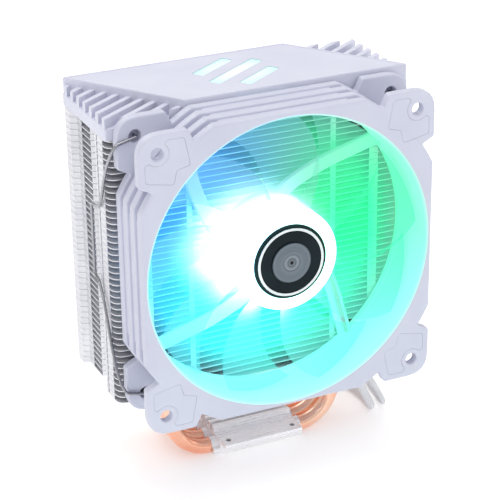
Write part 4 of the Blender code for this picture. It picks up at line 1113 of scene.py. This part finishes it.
def make_cover(materials):
    bay = rectangle(PIPE_BAY_HALF_X, BAY_HALF_Y, 0.001)
    lip = plate([rectangle(COVER_HALF_X, FIN_HALF_Y, 0.0008)], COVER_BOTTOM_Z, COVER_LIP_TOP_Z, 0.0003, [bay])
    ribs = [plate([outline], COVER_LIP_TOP_Z - 0.0008, COVER_RIB_TOP_Z, 0.00035) for outline in rib_outlines()]
    add_piece("cover_ribs", joined("cover_ribs", [lip, *ribs]), materials["cover"], "cooler",
              ("top_cover",))
    top = plate([plate_outline(0.0, 0.0006)], COVER_LIP_TOP_Z - 0.0006, COVER_PLATE_TOP_Z, 0.0004)
    hollow = plate([rectangle(LIGHT_BAY_HALF_X, BAY_HALF_Y, 0.001)], COVER_BOTTOM_Z, LIGHT_BAY_TOP_Z)
    windows = plate(bar_outlines(0.0), LIGHT_BAY_TOP_Z - 0.001, COVER_TOP_Z + 0.001)
    skin = cut(top, hollow, windows)
    rim = plate([plate_outline(0.0002, 0.0006)], COVER_PLATE_TOP_Z - 0.0004, COVER_TOP_Z, 0.0002,
                [plate_outline(0.0012, 0.0005)])
    add_piece("cover_plate", joined("cover_plate", [skin, rim]), materials["cover"], "cooler")


def make_top_light(materials):
    panel = plate([rectangle(DIFFUSER_HALF_X, DIFFUSER_HALF_Y, 0.001)], DIFFUSER_BOTTOM_Z,
                  LIGHT_BAY_TOP_Z - 0.0003, 0.0002)
    bars = plate(bar_outlines(-0.0003), DIFFUSER_BOTTOM_Z + 0.0003, COVER_PLATE_TOP_Z - 0.0002, 0.0002)
    add_piece("top_light", joined("top_light", [panel, bars]), materials["panel"], "cooler",
              ("light_diffuser",))
    finish_node("light_board", materials["board"])


# ---- fan frame ----
def corner_signs():
    return [(1, 1), (-1, 1), (-1, -1), (1, -1)]


def four_quadrants(quadrant):
    """A closed outline from the part of it in the first quadrant, going anticlockwise."""
    outline = []
    for turn in range(4):
        outline += moved(quadrant, Matrix.Rotation(turn * math.pi / 2, 4, "Z"))
    return outline


def body_outline(half, radius):
    start = math.acos(half / radius)
    return four_quadrants(arc((0.0, 0.0), radius, start, math.pi / 2 - start, 18))


def ear_outline():
    """The flange's outline: a round body with an ear for the screw at each corner."""
    shoulder = math.acos(SIDE_HALF / BODY_RADIUS)
    notch = math.atan2(NOTCH_U, NOTCH_V)
    rising = arc((0.0, 0.0), BODY_RADIUS, shoulder, notch, 6)
    corners = [(u, v, 0.0) for u, v in rising[:-1]]
    corners += [(NOTCH_V, NOTCH_U, 0.0012), (FAN_HALF, EAR_START, 0.0016),
                (FAN_HALF, FAN_HALF, EAR_CORNER_RADIUS)]
    corners += [(v, u, radius) for u, v, radius in reversed(corners[:-1])]
    whole = []
    for turn in range(4):
        matrix = Matrix.Rotation(turn * math.pi / 2, 2)
        whole += [(*(matrix @ Vector((u, v))), radius) for u, v, radius in corners]
    return soft_outline(whole, 6)


def screw_holes(radius):
    return [circle((u * HOLE_HALF, v * HOLE_HALF), radius, 24) for u, v in corner_signs()]


def grown(outline, distance):
    """A clockwise outline with every side moved outwards by a distance."""
    points = [Vector(p) for p in outline]
    result = []
    for before, here, after in zip(points[-1:] + points[:-1], points, points[1:] + points[:1]):
        arriving, leaving = (here - before).normalized(), (after - here).normalized()
        first, second = Vector((-arriving.y, arriving.x)), Vector((-leaving.y, leaving.x))
        mitre = (first + second).normalized()
        result.append(tuple(here + mitre * distance / mitre.dot(first)))
    return result


def pad_outline(grow, quarter):
    """A corner pad, notched round the screw hole."""
    side = [(0.0574, 0.0487, 0.0006), (0.0574, 0.0421, 0.0016), (0.0466, 0.0400, 0.0012)]
    other = [(y, x, radius) for x, y, radius in reversed(side)]
    notch = arc((HOLE_HALF, HOLE_HALF), PAD_NOTCH_RADIUS, math.radians(131), math.radians(319), 14)
    corners = side + [(0.0453, 0.0453, 0.0012)] + other + [(u, v, 0.0) for u, v in notch]
    outline = grown(soft_outline(corners, 4), grow) if grow else soft_outline(corners, 4)
    return moved(outline, Matrix.Rotation(quarter * math.pi / 2, 4, "Z"))


def flange_mesh(low, outer_face):
    """One flange with its ears, cut for the corner pads on its outer face."""
    duct = circle((0.0, 0.0), DUCT_RADIUS, 128)
    flange = plate([ear_outline()], low, low + FLANGE_THICKNESS, 0.0007, [duct, *screw_holes(HOLE_RADIUS)], 3)
    depth = PAD_THICKNESS + PAD_GAP
    if outer_face > low:
        span = (outer_face - depth, outer_face + 0.001)
    else:
        span = (outer_face - 0.001, outer_face + depth)
    recesses = plate([pad_outline(PAD_GAP, i) for i in range(4)], *span)
    return cut(flange, recesses)


def frame_core():
    """The duct's wall between the flanges, with its two outer ridges."""
    inner = [circle((0.0, 0.0), DUCT_RADIUS + 0.0002, 128)]
    core = plate([body_outline(CORE_HALF, CORE_RADIUS)], CORE_INSET, FAN_DEPTH - CORE_INSET, 0.0, inner)
    hidden = [circle((0.0, 0.0), DUCT_RADIUS + 0.0006, 128)]
    ridges = [plate([body_outline(SIDE_HALF, BODY_RADIUS)], FRAME_STEP * i, FRAME_STEP * i + FLANGE_THICKNESS,
                    0.0006, hidden, 3) for i in (1, 2)]
    return [core, *ridges]


def strut_meshes():
    """Four struts from the hub's seat to the duct's wall, and the seat itself."""
    stops = [(radius * math.cos(math.radians(ahead)), radius * math.sin(math.radians(ahead)), 0.0)
             for radius, ahead in STRUT_COURSE]
    course = smooth_route(stops, 5)
    near, far = [], []
    for before, here, after in zip(course[:1] + course, course, course[1:] + course[-1:]):
        along = (after - before).normalized()
        square = Vector((-along.y, along.x)) * STRUT_WIDTH / 2
        near.append(tuple(here.xy - square))
        far.append(tuple(here.xy + square))
    strut = plate([near + far[::-1]], STRUT_LOW, STRUT_HIGH, 0.0006, (), 3)
    meshes = [transformed(strut.copy(), Matrix.Rotation(math.radians(45 + 90 * i), 4, "Z")) for i in range(4)]
    seat = rounded_profile(((0.0, HUB_MOUNT_LOW, 0.0), (HUB_MOUNT_RADIUS, HUB_MOUNT_LOW, 0.0005),
                            (HUB_MOUNT_RADIUS, HUB_MOUNT_HIGH, 0.0005), (0.0, HUB_MOUNT_HIGH, 0.0)))
    return meshes + [turned(seat, 64)]


def make_frame(materials):
    place = fan_matrix()
    left, right = GROMMET_X
    shape = rectangle((right - left) / 2 + GROMMET_FIT, 0.0022, 0.0003, 3, ((left + right) / 2, 0.002))
    slot = plate([shape], SLOT_BOTTOM_Z - FAN_CENTRE_Z, GROMMET_Z[1] + GROMMET_FIT - FAN_CENTRE_Z)
    to_fan = Matrix(((1, 0, 0, 0), (0, 0, 1, 0), (0, 1, 0, 0), (0, 0, 0, 1)))
    slot = transformed(slot, to_fan)
    rear = cut(flange_mesh(0.0, 0.0), slot)
    front = flange_mesh(3 * FRAME_STEP, FAN_DEPTH)
    core, *ridges = frame_core()
    core = cut(core, slot)
    shells = [rear, front, core, *ridges, *strut_meshes()]
    add_piece("frame_shell", joined("frame_shell", shells), materials["plastic"], "cooler",
              ("fan_frame",), place)
    for side, low in (("front", FAN_DEPTH - PAD_THICKNESS), ("rear", 0.0)):
        for i in range(4):
            mesh = plate([pad_outline(0.0, i)], low, low + PAD_THICKNESS, 0.0001)
            add_piece(f"{side}_corner_pad_{i + 1}", mesh, materials["pad"], "cooler",
                      (f"{side}_pad_{i + 1}",), place)


def finish_motor(materials):
    """The motor's parts behind the hub keep their CAD shapes."""
    for i in range(4):
        finish_node(f"stator_coil_{i + 1}", materials["winding"])
    for node, material in (("motor_board", "board"), ("bearing_sleeve", "collar"), ("stator_core", "iron"),
                           ("motor_leads", "wire"), ("rear_label", "label"), ("rotor_yoke", "iron"),
                           ("rotor_magnet", "magnet"), ("rotor_shaft", "collar")):
        finish_node(node, materials[material])


# ---- rotor ----
def blade_mesh():
    """One blade as a bent grid, made solid: s runs from root to tip, t along the chord."""
    bm = bmesh.new()
    bmesh.ops.create_grid(bm, x_segments=14, y_segments=12, size=0.5)
    for vert in bm.verts:
        s, t = vert.co.x + 0.5, vert.co.y
        radius = BLADE_ROOT_RADIUS + s * (BLADE_TIP_RADIUS - BLADE_ROOT_RADIUS)
        span = BLADE_ROOT_SPAN + s * (BLADE_TIP_SPAN - BLADE_ROOT_SPAN)
        height = BLADE_ROOT_HEIGHT + s * (BLADE_TIP_HEIGHT - BLADE_ROOT_HEIGHT)
        angle = t * span + BLADE_SWEEP * s * s
        bow = BLADE_CAMBER * math.cos(math.pi * t)
        vert.co = (radius * math.cos(angle), radius * math.sin(angle), BLADE_MID - t * height + bow)
    obj = loose_object("blade", bake(bm, "blade"))
    solid = obj.modifiers.new("thickness", "SOLIDIFY")
    solid.thickness = BLADE_THICKNESS
    solid.offset = 0.0
    edges = obj.modifiers.new("edges", "BEVEL")
    edges.width = 0.0003
    edges.segments = 2
    edges.angle_limit = math.radians(50)
    return evaluated(obj)


def make_rotor(materials):
    place = fan_matrix()
    blade = blade_mesh()
    blades = [transformed(blade.copy(), Matrix.Rotation(math.tau * i / BLADE_COUNT, 4, "Z"))
              for i in range(BLADE_COUNT)]
    add_piece("blades", joined("blades", blades), materials["rotor"], "fan_rotor",
              ("impeller",), place)
    inner_top = CUP_FRONT - CUP_WALL
    cup = rounded_profile(((0.0, CUP_FRONT, 0.0), (CUP_RADIUS, CUP_FRONT, 0.0016),
                           (CUP_RADIUS, CUP_REAR, 0.0003), (CUP_INNER_RADIUS, CUP_REAR, 0.0003),
                           (CUP_INNER_RADIUS, inner_top, 0.0005),
                           (0.0, inner_top, 0.0)), 5)
    add_piece("hub_cup", turned(cup, 96), materials["hub"], "fan_rotor", (), place)
    edge = rounded_profile(((0.0, BADGE_BACK, 0.0), (BADGE_RADIUS, BADGE_BACK, 0.0001),
                            (BADGE_RADIUS, BADGE_BACK + 0.0005, 0.0003), (0.0, BADGE_BACK + 0.0005, 0.0)))
    add_piece("badge_edge", turned(edge, 96), materials["badge_edge"], "fan_rotor",
              ("badge_plate",), place)
    face = BADGE_BACK + 0.0008
    inner, outer = BADGE_RING_RADII
    ring = rounded_profile(((inner, face, 0.0), (outer, face, 0.0), (outer, face + 0.0004, 0.0002),
                            (inner, face + 0.0004, 0.0002)))
    add_piece("badge_trim", turned(ring, 96), materials["badge_ring"], "fan_rotor",
              ("badge_ring",), place)
    disc = rounded_profile(((0.0, face, 0.0), (BADGE_FACE_RADIUS, face, 0.0),
                            (BADGE_FACE_RADIUS, face + 0.0003, 0.0001), (0.0, face + 0.0003, 0.0)))
    add_piece("badge_disc", turned(disc, 96), materials["badge_face"], "fan_rotor",
              ("badge_face",), place)
    cap = face + 0.0006
    add_piece("badge_centre", turned(cap_profile(cap), 96), materials["spun"], "fan_rotor",
              ("badge_cap",), place)


def cap_profile(low):
    """The badge's centre: a low disc with shallow turned rings."""
    top = low + 0.0003
    profile = [(0.0, low), (BADGE_CAP_RADIUS, low), (BADGE_CAP_RADIUS, top - 0.00008),
               (BADGE_CAP_RADIUS - 0.0001, top)]
    for radius in (0.0066, 0.0050, 0.0031, 0.0022, 0.0013):
        profile += [(radius + 0.0001, top), (radius, top - 0.00006), (radius - 0.0001, top)]
    return profile + [(0.0006, top), (0.0005, top - 0.0001), (0.0, top - 0.0001)]


# ---- wire clips ----
def make_clips(materials):
    for name, side in (("clip_left", -1), ("clip_right", 1)):
        upper = [(side * x, y, FAN_CENTRE_Z + high) for x, y, high, low in CLIP_WIRE]
        lower = [(side * x, y, FAN_CENTRE_Z + low) for x, y, high, low in reversed(CLIP_WIRE)]
        mesh = tube(bent_route(upper + lower, 0.0012), WIRE_RADIUS, 12, tip=0.0003)
        add_piece(name + "_spring", mesh, materials["steel"], name + "_wire", (name,))


def main():
    make_camera()
    materials = make_materials()
    make_lead("fan_lead", FAN_LEAD, materials, math.radians(150))
    make_lead("light_lead", LIGHT_LEAD, materials, math.radians(20))
    make_studio(materials)
    make_grommet(materials)
    make_base(materials)
    make_pipes(materials)
    make_fins(materials)
    make_cover(materials)
    make_top_light(materials)
    make_frame(materials)
    finish_motor(materials)
    make_rotor(materials)
    make_clips(materials)
    bpy.context.view_layer.update()


main()
